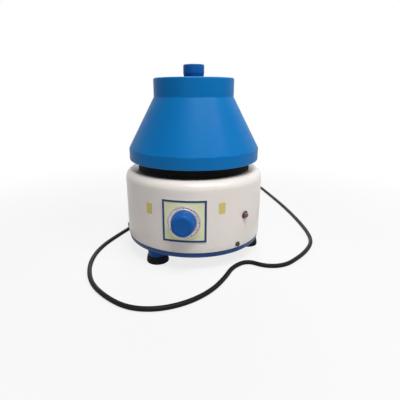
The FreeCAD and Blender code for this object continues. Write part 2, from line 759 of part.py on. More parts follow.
def build_head():
    """Angle head with slanted tube seats, held on the shaft by a washer and a dome nut."""
    head = new_body("rotor_head")
    bore = "(shaft_radius + shaft_fit)"
    shoulder = "(seat_radius + head_wall)"
    core_roof = f"({DISH_LEVEL} - head_web)"
    skirt_depth = f"((head_radius - seat_mouth_radius - {shoulder}*cos(seat_tilt))/sin(seat_tilt))"

    def core_radius(level):
        return (f"(seat_mouth_radius + ({MOUTH_LEVEL} - {level})*tan(seat_tilt)"
                f" - {shoulder}/cos(seat_tilt))")
    turn(head, [
        (bore, HUB_BASE),
        ("head_hub_radius", HUB_BASE),
        ("head_hub_radius", core_roof),
        (core_radius(core_roof), core_roof),
        (core_radius(HEAD_BASE), HEAD_BASE),
        ("head_radius - head_foot_chamfer", HEAD_BASE),
        ("head_radius", f"{HEAD_BASE} + head_foot_chamfer"),
        seat_point(skirt_depth, shoulder),
        seat_point("0", shoulder),
        ("head_dish_radius", DISH_LEVEL),
        (bore, DISH_LEVEL),
    ])
    above = "-head_wall"
    seat = groove(head, [
        seat_point(above, "0"),
        seat_point(above, "seat_radius"),
        seat_point("seat_depth", "seat_radius") + ("seat_floor_radius",),
        seat_point("seat_depth", "0"),
    ], [seat_point(above, "0"), seat_point("seat_depth", "0")])
    around(head, seat, "seat_count")

    washer_top = f"({DISH_LEVEL} + head_washer_thickness)"
    turn(new_body("head_washer"), ring(bore, "head_washer_radius", DISH_LEVEL, washer_top))
    nut = new_body("head_nut")
    hex_top = f"({washer_top} + head_nut_height)"
    pad(nut, lambda sketch: draw_hexagon(sketch, "0", "0", "head_nut_radius"), "head_nut_height",
        lift=washer_top)
    turn(nut, [
        ("0", f"{washer_top} + 0.5*head_nut_height"),
        ("head_nut_dome_radius", f"{washer_top} + 0.5*head_nut_height"),
        ("head_nut_dome_radius", f"{hex_top} + head_nut_dome_height", "0.8*head_nut_dome_height"),
        ("0", f"{hex_top} + head_nut_dome_height"),
    ])
    thread_top = f"({washer_top} + shaft_thread_length)"
    groove(nut, [("0", washer_top), (bore, washer_top), (bore, f"{thread_top} + glue_gap"),
                 ("0", f"{thread_top} + glue_gap")])

    shaft = new_body("motor_shaft")
    collar_base = f"({HUB_BASE} - shaft_collar_height)"
    turn(shaft, [
        ("0", f"{LOWER_SEAT} + bearing_gap"),
        ("shaft_radius", f"{LOWER_SEAT} + bearing_gap"),
        ("shaft_radius", collar_base),
        ("shaft_collar_radius", collar_base),
        ("shaft_collar_radius", HUB_BASE),
        ("shaft_radius", HUB_BASE),
        ("shaft_radius", thread_top),
        ("0", thread_top),
    ])


def build_bearing(side, seat):
    """Shielded ball bearing, as its outer and inner rings."""
    top = f"({seat} + bearing_width)"
    middle = "(shaft_radius + bearing_radius)/2"
    inner_wall = "(shaft_radius + bearing_fit + bearing_ring_wall)"
    outer = ring(f"{middle} + bearing_gap/2", "bearing_radius - bearing_fit", seat, top)
    turn(new_body(f"{side}_bearing_outer"), outer)
    inner = new_body(f"{side}_bearing_inner")
    race = [
        ("shaft_radius + bearing_fit", f"{seat} + bearing_gap"),
        (inner_wall, f"{seat} + bearing_gap"),
        (f"{middle} - bearing_gap/2", f"{seat} + 0.15*bearing_width"),
        (f"{middle} - bearing_gap/2", f"{top} - 0.15*bearing_width"),
        (inner_wall, f"{top} - bearing_gap"),
        ("shaft_radius + bearing_fit", f"{top} - bearing_gap"),
    ]
    turn(inner, race)


def build_motor_frame():
    """Brackets, stator and field coils on rubber bushes, tied by long bolts."""
    wall_outer = "stator_radius"
    wall_inner = "(stator_radius - bracket_wall)"
    boss = "(bearing_radius + bearing_boss_wall)"
    brush_hole = "brush_radius + brush_gap + brush_tube_wall + bolt_clearance"
    lower = new_body("lower_bracket")
    lower_boss_top = f"({LOWER_SEAT} + bearing_width)"
    turn(lower, [
        ("0", BRACKET_BASE),
        ("bracket_radius", BRACKET_BASE),
        ("bracket_radius", LOWER_SEAT),
        (wall_outer, LOWER_SEAT),
        (wall_outer, STATOR_BASE),
        (wall_inner, STATOR_BASE),
        (wall_inner, LOWER_SEAT),
        (boss, LOWER_SEAT),
        (boss, lower_boss_top),
        ("bearing_radius", lower_boss_top),
        ("bearing_radius", LOWER_SEAT),
        ("0", LOWER_SEAT),
    ])
    around(lower, radial_hole(lower, "90", BRUSH_LEVEL, brush_hole), "2")
    bolt_hole = "mount_bolt_radius + bolt_clearance"
    under, over = f"{BRACKET_BASE} - bracket_plate", f"{LOWER_SEAT} + bracket_plate"
    around(lower, upright_hole(lower, "mount_circle", bolt_hole, under, over), "mount_count")
    tie_hole = "tie_bolt_radius + bolt_clearance"

    def tie_holes(body, base, top):
        cut = pocket(body, lambda sketch: draw_circle(sketch, "0", "mount_circle", tie_hole),
                     f"{top} - {base} + 2*bracket_plate", lift=f"{base} - bracket_plate")
        around(body, cut, "tie_count")
    tie_holes(lower, BRACKET_BASE, LOWER_SEAT)

    upper = new_body("upper_bracket")
    turn(upper, [
        ("shaft_collar_radius + bearing_cover_gap", UPPER_PLATE),
        (wall_inner, UPPER_PLATE),
        (wall_inner, STATOR_TOP),
        (wall_outer, STATOR_TOP),
        (wall_outer, UPPER_PLATE),
        ("bracket_radius", UPPER_PLATE),
        ("bracket_radius", UPPER_SEAT),
        (boss, UPPER_SEAT),
        (boss, BOSS_TOP),
        ("bearing_radius", BOSS_TOP),
        ("bearing_radius", UPPER_SEAT),
        ("shaft_collar_radius + bearing_cover_gap", UPPER_SEAT),
    ])
    tie_holes(upper, UPPER_PLATE, UPPER_SEAT)
    turn(new_body("bearing_cover"), ring("shaft_radius + bearing_cover_gap", boss, BOSS_TOP,
                                         f"{BOSS_TOP} + bearing_cover_thickness"))

    stator = new_body("stator_core")
    turn(stator, ring("stator_bore_radius", "stator_radius", STATOR_BASE, STATOR_TOP))
    half = "stator_window_half"

    def draw_window(sketch):
        draw_outline(sketch, [("0.6*stator_bore_radius", f"-{half}"), ("stator_window_reach", f"-{half}"),
                              ("stator_window_reach", half), ("0.6*stator_bore_radius", half)])
    window = pocket(stator, draw_window, "2*stator_height", lift=f"{STATOR_BASE} - stator_height/2")
    around(stator, window, "2")

    low_end = f"({STATOR_BASE} - coil_end_gap - coil_end_height)"
    high_end = f"({STATOR_TOP} + coil_end_gap + coil_end_height)"
    for side, spin in (("rear", "0"), ("front", "180")):
        coil = new_body(f"{side}_field_coil", f"placement(vector(0; 0; 0); rotation({spin}; 0; 0))")
        arc = "180 deg - 2*asin((coil_split + 0.5*coil_bar_width)/coil_inner_radius)"
        for base in (low_end, f"({STATOR_TOP} + coil_end_gap)"):
            turn(coil, ring("coil_inner_radius", "coil_outer_radius", base, f"{base} + coil_end_height"),
                 sweep=arc, turn="90")
        for sign in ("", "-"):
            def draw_bar(sketch, inner=f"{sign}coil_inner_radius", outer=f"{sign}coil_outer_radius"):
                near, far = "coil_split", "coil_split + coil_bar_width"
                draw_outline(sketch, [(inner, near), (outer, near), (outer, far), (inner, far)])
            pad(coil, draw_bar, f"{high_end} - {low_end}", lift=low_end)

    bushes = new_body("mount_bushes")
    bush = ring("mount_bolt_radius + bolt_clearance", "bush_radius", PAN_FLOOR, BRACKET_BASE)
    bush_turning = turn(bushes, beside(bush, "mount_circle"), upright("mount_circle", "0", PAN_FLOOR))
    around(bushes, bush_turning, "mount_count")
    mount_top = f"{LOWER_SEAT} + 1.3*mount_nut_height"
    outline = rod("mount_bolt_radius", "foot_height", mount_top,
                  "mount_bolt_head_radius", "mount_bolt_head_height")
    nut = ("mount_nut_radius", "mount_bolt_radius + nut_clearance", LOWER_SEAT, "mount_nut_height")
    upright_bolts("mount_bolts", "mount_circle", outline, nut, "mount_count")
    tie_top = f"{UPPER_SEAT} + 1.1*tie_nut_height"
    outline = rod("tie_bolt_radius", BRACKET_BASE, tie_top, "tie_bolt_head_radius", "tie_bolt_head_height")
    nut = ("tie_nut_radius", "tie_bolt_radius + nut_clearance", UPPER_SEAT, "tie_nut_height")
    upright_bolts("tie_bolts", "mount_circle", outline, nut, "tie_count", turned("180"))
    build_bearing("lower", LOWER_SEAT)
    build_bearing("upper", UPPER_SEAT)


def build_brushes():
    """Two carbon brushes in tubes that point at the commutator, each closed by a cap."""
    axis = [("0", BRUSH_LEVEL), ("shell_radius", BRUSH_LEVEL)]
    bore = "(brush_radius + brush_gap)"

    def sideways(label, inner, outer, start, end):
        body = new_body(label)
        corners = [(start, f"{BRUSH_LEVEL} + {inner}"), (start, f"{BRUSH_LEVEL} + {outer}"),
                   (end, f"{BRUSH_LEVEL} + {outer}"), (end, f"{BRUSH_LEVEL} + {inner}")]
        around(body, turn(body, corners, axis), "2")
    sideways("brush_holders", bore, f"{bore} + brush_tube_wall", "brush_tube_start", "brush_tube_end")
    touch = "(commutator_radius + brush_gap)"
    sideways("carbon_brushes", "0", "brush_radius", touch, f"{touch} + brush_length")
    sideways("brush_caps", "0", "brush_cap_radius", "brush_tube_end", "brush_tube_end + brush_cap_height")


def build_armature():
    """What turns on the shaft inside the motor."""
    bore = "(shaft_radius + shaft_fit)"
    core = new_body("armature_core")
    turn(core, ring(bore, "armature_radius", ARMATURE_BASE, ARMATURE_TOP))
    half = "armature_slot_width/2"

    def draw_slot(sketch):
        inner = "armature_radius - armature_slot_depth"
        outer = "armature_radius + armature_slot_width"
        draw_outline(sketch, [(inner, f"-{half}"), (outer, f"-{half}"), (outer, half), (inner, half)])
    slot = pocket(core, draw_slot, f"{ARMATURE_TOP} - {ARMATURE_BASE} + 2*winding_height",
                  lift=f"{ARMATURE_BASE} - winding_height")
    around(core, slot, "armature_slots")

    winding = new_body("armature_winding")
    for base in (f"({ARMATURE_BASE} - winding_height)", ARMATURE_TOP):
        top = f"({base} + winding_height)"
        turn(winding, [
            ("winding_inner_radius", base),
            ("winding_outer_radius", base, "0.45*winding_height"),
            ("winding_outer_radius", top, "0.45*winding_height"),
            ("winding_inner_radius", top),
        ])
    turn(new_body("commutator"), ring(bore, "commutator_radius", COMMUTATOR_BASE,
                                      f"{COMMUTATOR_BASE} + commutator_height"))

    fan = new_body("cooling_fan")
    turn(fan, [
        (bore, FAN_BASE),
        ("fan_radius", FAN_BASE),
        ("fan_radius", f"{FAN_BASE} + fan_plate"),
        ("fan_hub_radius", f"{FAN_BASE} + fan_plate"),
        ("fan_hub_radius", f"{FAN_BASE} + fan_height"),
        (bore, f"{FAN_BASE} + fan_height"),
    ])

    def draw_blade(sketch):
        inner, outer, width = "0.8*fan_hub_radius", "0.97*fan_radius", "fan_blade_width/2"
        draw_outline(sketch, [(inner, f"-{width}"), (outer, f"-{width}"), (outer, width), (inner, width)])
    around(fan, pad(fan, draw_blade, "fan_height", lift=FAN_BASE), "fan_blades")


def build_control():
    """Square plate, dial ring and knob on the front, with the wire-wound regulator behind them."""
    plate = new_body("dial_plate")
    back = "(shell_radius + sheet_gap)"
    low = f"({CONTROL_LEVEL} - plate_size/2)"
    turn(plate, ring(back, f"{back} + plate_thickness", low, f"{low} + plate_size"),
         sweep="2*asin(plate_size/2/shell_radius)", turn="-90")
    radial_hole(plate, "0", CONTROL_LEVEL, "bush_thread_radius + bush_clearance")

    front = standing("0", CONTROL_LEVEL)
    dial = new_body("dial_ring", front)
    bush_hole = "(bush_thread_radius + bush_clearance)"
    turn(dial, [
        (bush_hole, "0.9*shell_radius"),
        ("dial_radius", "0.9*shell_radius"),
        ("dial_radius", DIAL_FRONT, "dial_edge_radius"),
        (bush_hole, DIAL_FRONT),
    ])
    pocket(dial, lambda sketch: draw_circle(sketch, "0", "0", DIAL_BACK), "4*dial_radius", "XZ_Plane", True)

    base = new_body("regulator_base", front)
    bush_top = f"({DIAL_FRONT} + regulator_nut_height)"
    shaft_hole = "(regulator_shaft_radius + regulator_shaft_fit)"
    rim_inner = "(regulator_radius - regulator_rim_wall)"
    turn(base, [
        (shaft_hole, REGULATOR_BACK),
        (rim_inner, REGULATOR_BACK),
        (rim_inner, f"{REGULATOR_BACK} - regulator_rim_length"),
        ("regulator_radius", f"{REGULATOR_BACK} - regulator_rim_length"),
        ("regulator_radius", REGULATOR_FACE),
        ("regulator_boss_radius", REGULATOR_FACE),
        ("regulator_boss_radius", f"{REGULATOR_FACE} + regulator_boss_length"),
        ("bush_thread_radius", f"{REGULATOR_FACE} + regulator_boss_length"),
        ("bush_thread_radius", bush_top),
        (shaft_hole, bush_top),
    ])
    winding = new_body("regulator_winding", front)
    turn(winding, ring("winding_ring_inner", f"{rim_inner} - glue_gap", WINDING_BACK, REGULATOR_BACK))

    nut = new_body("regulator_nut", front)

    def draw_nut(sketch):
        draw_hexagon(sketch, "0", "0", "regulator_nut_radius")
        draw_circle(sketch, "0", "0", "bush_thread_radius + nut_clearance")
    pad(nut, draw_nut, "regulator_nut_height", lift=DIAL_FRONT)

    wiper = new_body("regulator_wiper", front)
    arm = f"({WINDING_BACK} - wiper_gap - wiper_thickness)"
    turn(wiper, ring(shaft_hole, "wiper_hub_radius", arm, f"{arm} + wiper_hub_length"))

    def draw_arm(sketch):
        half = "wiper_width/2"
        draw_outline(sketch, [("0.8*wiper_hub_radius", f"-{half}"), ("wiper_reach", f"-{half}"),
                              ("wiper_reach", half), ("0.8*wiper_hub_radius", half)])
    pad(wiper, draw_arm, "wiper_thickness", lift=arm)

    bore_top = f"({KNOB_BASE} + knob_bore_depth)"
    turn(new_body("regulator_shaft", front), rod("regulator_shaft_radius", f"({arm} - wiper_thickness)",
                                                 f"{bore_top} - glue_gap"))
    knob = new_body("speed_knob", front)
    cavity_top = f"({KNOB_BASE} + knob_cavity_depth)"
    face = f"({KNOB_BASE} + knob_height)"
    turn(knob, [
        ("knob_cavity_radius", KNOB_BASE),
        ("knob_radius", KNOB_BASE),
        ("knob_radius", f"{KNOB_BASE} + 0.18*knob_height"),
        ("knob_face_radius", face, "knob_edge_radius"),
        ("0", face),
        ("0", bore_top),
        (shaft_hole, bore_top),
        (shaft_hole, cavity_top),
        ("knob_cavity_radius", cavity_top),
    ])
    screw_level = f"({KNOB_BASE} + set_screw_height)"
    reach = "regulator_shaft_radius + glue_gap"
    pocket(knob, lambda sketch: draw_circle(sketch, "0", screw_level, "set_screw_radius + nut_clearance"),
           "2*knob_radius", "XZ_Plane", turn="180")
    screw = new_body("knob_set_screw", front)
    pad(screw, lambda sketch: draw_circle(sketch, "0", screw_level, "set_screw_radius"),
        "set_screw_length", "XZ_Plane", turn="180", lift=reach)


def build_lamp():
    """Pilot lamp: bezel, dome lens and the nut behind the shell."""
    place = standing("lamp_angle", CONTROL_LEVEL)
    seat = "(shell_radius + sheet_gap)"
    face = f"({seat} + lamp_flange_thickness)"
    socket = f"({face} - lamp_socket_depth)"
    turn(new_body("lamp_bezel", place), [
        ("0", f"{seat} - lamp_barrel_length"),
        ("lamp_barrel_radius", f"{seat} - lamp_barrel_length"),
        ("lamp_barrel_radius", seat),
        ("lamp_flange_radius", seat),
        ("lamp_flange_radius", face, "0.5*lamp_flange_thickness"),
        ("lamp_radius", face),
        ("lamp_radius", socket),
        ("0", socket),
    ])
    dome = f"({face} + lamp_dome_height)"
    turn(new_body("lamp_lens", place), [
        ("0", socket),
        ("lamp_radius - bearing_fit", socket),
        ("lamp_radius - bearing_fit", dome, "0.95*lamp_dome_height"),
        ("0", dome),
    ])
    nut = new_body("lamp_nut", place)

    def draw(sketch):
        draw_hexagon(sketch, "0", "0", "lamp_nut_radius")
        draw_circle(sketch, "0", "0", "lamp_barrel_radius + nut_clearance")
    pad(nut, draw, "lamp_nut_height", lift=f"{SHELL_INSIDE} - regulator_seat_gap - lamp_nut_height")


def build_gland():
    """Moulded strain relief at the back, and the nut that holds it."""
    place = standing("180", GLAND_LEVEL)
    seat = "(shell_radius + sheet_gap)"
    face = f"({seat} + gland_flange_thickness)"
    turn(new_body("cord_gland", place), [
        ("0", f"{seat} - gland_barrel_length"),
        ("gland_barrel_radius", f"{seat} - gland_barrel_length"),
        ("gland_barrel_radius", seat),
        ("gland_flange_radius", seat),
        ("gland_flange_radius", face),
        ("gland_root_radius", face),
        ("gland_tip_radius", f"{seat} + gland_length"),
        ("0", f"{seat} + gland_length"),
    ])
    nut = new_body("gland_nut", place)

    def draw(sketch):
        draw_hexagon(sketch, "0", "0", "gland_nut_radius")
        draw_circle(sketch, "0", "0", "gland_barrel_radius + nut_clearance")
    pad(nut, draw, "gland_nut_height", lift=f"{SHELL_INSIDE} - regulator_seat_gap - gland_nut_height")


# Route of the lead on the table, from the strain relief round the left and the front to the right and back
CORD_ROUTE = [
    (-8, 176, 40), (-34, 196, 25), (-66, 186, 11), (-84, 150, 3),
    (-94, 106, 3), (-104, 66, 3), (-114, 30, 3), (-125, -6, 3), (-134, -42, 3), (-135, -77, 3),
    (-127, -113, 3), (-109, -148, 3), (-82, -173, 3), (-50, -191, 3), (-17, -190, 3), (14, -174, 3),
    (39, -147, 3), (54, -115, 3), (63, -86, 3), (83, -66, 3), (107, -79, 3), (134, -73, 3),
    (155, -48, 3), (172, -22, 3), (185, 10, 3), (186, 46, 3), (181, 88, 3), (173, 134, 3),
    (163, 180, 3), (152, 224, 3), (140, 268, 3), (128, 308, 4), (117, 342, 4),
]


def lead_start():
    """Ends of the first run, which leaves the tip of the strain relief straight back."""
    tip = Vector(0, size("shell_radius + sheet_gap + gland_length"), size(GLAND_LEVEL))
    return [tip, tip + Vector(0, size("gland_run"), 0)]


def add_solid(label, shape):
    """Piece whose shape no sketch feature makes."""
    piece = doc.addObject("Part::Feature", label)
    piece.Label = label
    piece.Shape = shape
    pieces.append(piece)
    return piece


def rounded_path(points):
    """Straight runs joined by the largest even tangent arcs, with the radius of each arc."""
    edges, radii, last = [], [], points[0]
    for before, here, after in zip(points, points[1:], points[2:]):
        back, ahead = (before - here), (after - here)
        half_turn = (math.pi - back.getAngle(ahead)) / 2
        cut = 0.45 * min(back.Length, ahead.Length)
        back.normalize()
        ahead.normalize()
        radius = cut / math.tan(half_turn)
        start, end = here + back * cut, here + ahead * cut
        inward = (back + ahead).normalize()
        middle = here + inward * (radius / math.cos(half_turn) - radius)
        edges.append(Part.LineSegment(last, start).toShape())
        edges.append(Part.Arc(start, middle, end).toShape())
        radii.append(radius)
        last = end
    edges.append(Part.LineSegment(last, points[-1]).toShape())
    return Part.Wire(edges), radii


def tube(path, radius):
    """Round solid along a path."""
    start = path.Edges[0].valueAt(path.Edges[0].FirstParameter)
    direction = path.Edges[0].tangentAt(path.Edges[0].FirstParameter)
    section = Part.Wire(Part.Circle(start, direction, radius).toShape())
    return path.makePipeShell([section], True, False)


def tangent_arc(start, direction, end):
    """Arc that leaves a point in a direction and reaches another point."""
    chord = end - start
    along = Vector(chord).normalize()
    bulge = direction - along * direction.dot(along)
    angle = direction.getAngle(chord)
    middle = (start + end) * 0.5 + bulge.normalize() * (chord.Length / 2 * math.tan(angle / 2))
    return Part.Arc(start, middle, end).toShape()


def biarc(start, leaving, end, arriving):
    """Two arcs that join two points with the directions given there."""
    gap = end - start
    both = leaving + arriving
    squared = 2 * (1 - leaving.dot(arriving))
    reach = (-gap.dot(both) + math.sqrt(gap.dot(both) ** 2 + squared * gap.dot(gap))) / squared
    joint = (start + end + (leaving - arriving) * reach) * 0.5
    second = tangent_arc(end, arriving * -1, joint)
    return [tangent_arc(start, leaving, joint), Part.Wire(second).reversed().Edges[0]]


def coil_state(turns, centre, first_angle):
    """Point and direction of the coil after a number of turns: it winds in, climbs and winds out again."""
    pitch = size("cord_diameter + coil_turn_gap")
    half, total = size("coil_turns/2"), size("coil_turns")
    climb = min(max((turns - half) / 0.5 + 0.5, 0.0), 1.0)
    inward = turns if turns <= half else total - turns
    angle = first_angle + 2 * math.pi * turns
    radius = size("coil_radius") - pitch * inward
    level = centre.z + pitch * climb
    outward = Vector(math.cos(angle), math.sin(angle), 0)
    round_it = Vector(-math.sin(angle), math.cos(angle), 0)
    drift = 0.0 if abs(turns - half) < 0.01 else math.copysign(pitch, turns - half)
    rise = pitch / 0.5 if abs(turns - half) < 0.2 else 0.0
    direction = round_it * (2 * math.pi * radius) + outward * drift + Vector(0, 0, rise)
    return centre + outward * radius + Vector(0, 0, level - centre.z), direction.normalize()


def build_lead():
    """Mains lead: the run on the table, the put-away coil with its tie, and the plug."""
    radius = size("cord_diameter/2")
    points = lead_start() + [Vector(*point) for point in CORD_ROUTE]
    path, radii = rounded_path(points)
    print("lead radii in diameters:", [round(r / size("cord_diameter"), 1) for r in radii])
    lead = tube(path, radius)
    section = math.pi * radius ** 2
    print("lead volume over section times length:", round(lead.Volume / (section * path.Length), 5))
    add_solid("power_cord", lead)

    heading = (points[-1] - points[-2])
    heading.z = 0
    heading.normalize()
    slant = math.atan(size("(cord_diameter + coil_turn_gap)") / (2 * math.pi * size("coil_radius")))
    first_angle = math.atan2(heading.y, heading.x) - math.pi / 2 - slant
    start = points[-1] + heading * size("cord_diameter")
    centre = start - Vector(math.cos(first_angle), math.sin(first_angle), 0) * size("coil_radius")
    quarters = round(size("coil_turns") * 4)
    states = [coil_state(step / 4, centre, first_angle) for step in range(quarters + 1)]
    edges = [Part.LineSegment(points[-1], start).toShape()]
    for (spot, leaving), (target, arriving) in zip(states, states[1:]):
        edges += biarc(spot, leaving, target, arriving)
    end, direction = states[-1]
    tail = end + direction * size("plug_tail")
    edges.append(Part.LineSegment(end, tail).toShape())
    winding = Part.Wire(edges)
    coil = tube(winding, radius)
    print("coil volume over section times length:", round(coil.Volume / (section * winding.Length), 5))
    print("lead on the table:", round(path.Length), "coil:", round(winding.Length), "mm")
    report_coil_gap(winding)
    add_solid("cord_coil", coil)
    build_tie(centre, first_angle)
    build_plug(tail, direction)


def report_coil_gap(winding):
    """Print the least gap between turns of the coil, measured on points of its middle line."""
    step = size("cord_diameter") / 2
    points = winding.discretize(Distance=step)
    apart = round(math.pi * size("cord_diameter") / step)
    least = min((first - second).Length for i, first in enumerate(points) for second in points[i + apart:])
    print("least gap between turns:", round(least - size("cord_diameter"), 2), "mm")


def build_tie(centre, first_angle):
    """Flat band round all the turns at one place of the coil."""
    pitch = size("cord_diameter + coil_turn_gap")
    half, wall = size("cord_diameter/2 + tie_gap"), size("tie_thickness")
    angle = first_angle + math.pi / 2
    inner = size("coil_radius") - pitch * size("coil_turns/2") - half
    outer = size("coil_radius") + half
    low, high = centre.z - half, centre.z + pitch + half
    width = size("tie_width")
    hole = Part.makeBox(outer - inner, width, high - low, Vector(inner, -width / 2, low))
    band = Part.makeBox(outer - inner + 2 * wall, width, high - low + 2 * wall,
                        Vector(inner - wall, -width / 2, low - wall))
    tie = add_solid("cord_tie", band.cut(hole))
    tie.Placement = FreeCAD.Placement(Vector(centre.x, centre.y, 0),
                                      FreeCAD.Rotation(Vector(0, 0, 1), math.degrees(angle)))


def build_plug(tail, direction):
    """Flat two-pin plug on the end of the lead, lying on the table."""
    heading = math.degrees(math.atan2(direction.y, direction.x))
    place = FreeCAD.Placement(Vector(tail.x, tail.y, 0), FreeCAD.Rotation(Vector(0, 0, 1), heading))
    body = new_body("plug_body")
    body.Placement = place
    half, neck = "plug_width/2", "plug_neck_width/2"
    thick = 2 * tail.z

    def draw(sketch):
        draw_outline(sketch, [
            ("0", f"-{neck}"),
            ("plug_neck_length", f"-{neck}"),
            ("2*plug_neck_length", f"-{half}", "plug_corner_radius"),
            ("plug_length", f"-{half}", "plug_corner_radius/2"),
            ("plug_length", half, "plug_corner_radius/2"),
            ("2*plug_neck_length", half, "plug_corner_radius"),
            ("plug_neck_length", neck),
            ("0", neck),
        ])
    pad(body, draw, str(thick))
    pins = new_body("plug_pins")
    pins.Placement = place

    def draw_pin(side):
        return lambda sketch: draw_circle(sketch, f"{side}*pin_spacing/2", str(tail.z), "pin_radius")
    for side in ("-1", "1"):
        pad(pins, draw_pin(side), "pin_length", "XZ_Plane", turn="90", lift="plug_length")


def check_and_write():
    """Recompute, test every object and piece, and write one file for each piece."""
    doc.recompute()
    failed = [item.Name for item in doc.Objects if {"Invalid", "Error"} & set(item.State)]
    if failed:
        raise RuntimeError(f"objects that failed: {failed}")
    for piece in pieces:
        if piece.Shape.isNull() or not piece.Shape.isValid() or not piece.Shape.Solids:
            raise RuntimeError(f"bad shape: {piece.Label}")
    os.makedirs("parts", exist_ok=True)
    for piece in pieces:
        piece.Shape.exportStep(f"parts/{piece.Label}.step")
    print(len(pieces), "pieces written")


fill_sheet()
build_drum()
build_feet()
build_chamber()
build_lid()
build_head()
build_motor_frame()
build_brushes()
build_armature()
build_control()
build_lamp()
build_gland()
build_lead()
check_and_write()
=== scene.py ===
"""Dresses the solids of a small bench centrifuge: finishes, trim, mains lead and a plain studio round it.

Sizes are in millimetres unless a name says otherwise; meshes are made in metres, in the frame of the solids.
Angles round the drum are counted from the front (-Y) towards +X, in degrees.
"""
from __future__ import annotations

import json
import logging
import math
from dataclasses import dataclass, field
from enum import Enum
from typing import Callable, Collection, Mapping, Optional, Sequence, Union

import bmesh
import bpy
from mathutils import Matrix, Vector

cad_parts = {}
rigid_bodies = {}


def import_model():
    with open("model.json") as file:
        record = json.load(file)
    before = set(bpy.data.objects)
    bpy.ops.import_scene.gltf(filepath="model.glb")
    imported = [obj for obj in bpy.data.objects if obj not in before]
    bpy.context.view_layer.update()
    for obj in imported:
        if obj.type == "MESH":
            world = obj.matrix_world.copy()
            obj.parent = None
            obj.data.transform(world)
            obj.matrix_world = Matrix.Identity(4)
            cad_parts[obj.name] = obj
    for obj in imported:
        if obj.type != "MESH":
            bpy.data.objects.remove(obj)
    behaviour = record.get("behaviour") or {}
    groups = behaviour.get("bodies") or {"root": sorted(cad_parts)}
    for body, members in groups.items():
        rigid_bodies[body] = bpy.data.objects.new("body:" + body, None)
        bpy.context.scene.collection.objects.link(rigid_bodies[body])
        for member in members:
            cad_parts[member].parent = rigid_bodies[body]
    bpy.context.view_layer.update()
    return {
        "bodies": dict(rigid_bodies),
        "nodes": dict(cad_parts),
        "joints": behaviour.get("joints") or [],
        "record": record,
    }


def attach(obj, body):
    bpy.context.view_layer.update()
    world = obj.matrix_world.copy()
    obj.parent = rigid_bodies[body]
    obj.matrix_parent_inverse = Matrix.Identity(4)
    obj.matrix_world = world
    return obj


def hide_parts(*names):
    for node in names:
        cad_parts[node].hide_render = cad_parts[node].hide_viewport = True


LOG = logging.getLogger("bench_centrifuge")
MM = 0.001
FULL_TURN = 2 * math.pi
SHARP_ANGLE = math.radians(32)
WELD_DISTANCE = 1e-5
TINY = 1e-6
WHITE = (1.0, 1.0, 1.0, 1.0)
UPRIGHT = Matrix.Identity(4)
TIPPED = Matrix.Rotation(FULL_TURN / 4, 4, "X")
DRUM_RADIUS = 100.0
DRUM_TOP = 121.0
CONTROL_HEIGHT = 70.3
Corner = Sequence[float]
Outline = tuple[Corner, ...]
Pair = tuple[float, float]
Triple = tuple[float, float, float]
Colour = tuple[float, float, float, float]
Item = bpy.types.Object
Socket = bpy.types.NodeSocket
Shape = bmesh.types.BMesh
Loop = Sequence[bmesh.types.BMVert]
Settings = Mapping[str, object]


class Body(Enum):
    """Rigid bodies of the solids that a piece can ride on."""

    HOUSING = "root"
    LID = "lid"
    KNOB = "knob"


# Shader expressions


def operator_method(operation: str, other_first: bool = False) -> Callable[[Value, Feed], Value]:
    """Make the method behind one of Python's operators on values.

    Args:
        operation: What the Math node does.
        other_first: Whether the value is the second term.

    Returns:
        The method.
    """
    def method(value: Value, other: Feed) -> Value:
        """Add the Math node."""
        terms = (other, value) if other_first else (value, other)
        return value.graph.maths(operation, *terms)
    return method


class Value:
    """A number that changes over a surface. Python's operators on it add Math nodes."""

    __add__ = operator_method("ADD")
    __radd__ = operator_method("ADD", True)
    __sub__ = operator_method("SUBTRACT")
    __rsub__ = operator_method("SUBTRACT", True)
    __mul__ = operator_method("MULTIPLY")
    __rmul__ = operator_method("MULTIPLY", True)
    __truediv__ = operator_method("DIVIDE")
    __rtruediv__ = operator_method("DIVIDE", True)
    __pow__ = operator_method("POWER")
    __rpow__ = operator_method("POWER", True)

    def __init__(self, graph: Graph, socket: Socket) -> None:
        """Hold a socket and the graph that it belongs to."""
        self.graph = graph
        self.socket = socket

    def __abs__(self) -> Value:
        """Size without sign."""
        return self.graph.maths("ABSOLUTE", self)

    def wave(self, pitch: float) -> Value:
        """Wave from 0 to 1 along a value in metres, with a pitch in millimetres."""
        return self.graph.maths("SINE", self * (FULL_TURN / (pitch * MM))) * 0.5 + 0.5

    def smooth(self, low: float, high: float) -> Value:
        """Smooth step from 0 at the low value to 1 at the high one."""
        feeds = {"Value": self, "From Min": low, "From Max": high}
        return self.graph.value("ShaderNodeMapRange", {"interpolation_type": "SMOOTHSTEP"}, feeds)


Feed = Union[Value, Socket, float, Sequence[float]]
Feeds = Mapping[Union[str, int], Feed]


def distance(first: Value, second: Value) -> Value:
    """Length of the slanted side over two values that are square to each other."""
    return (first * first + second * second) ** 0.5


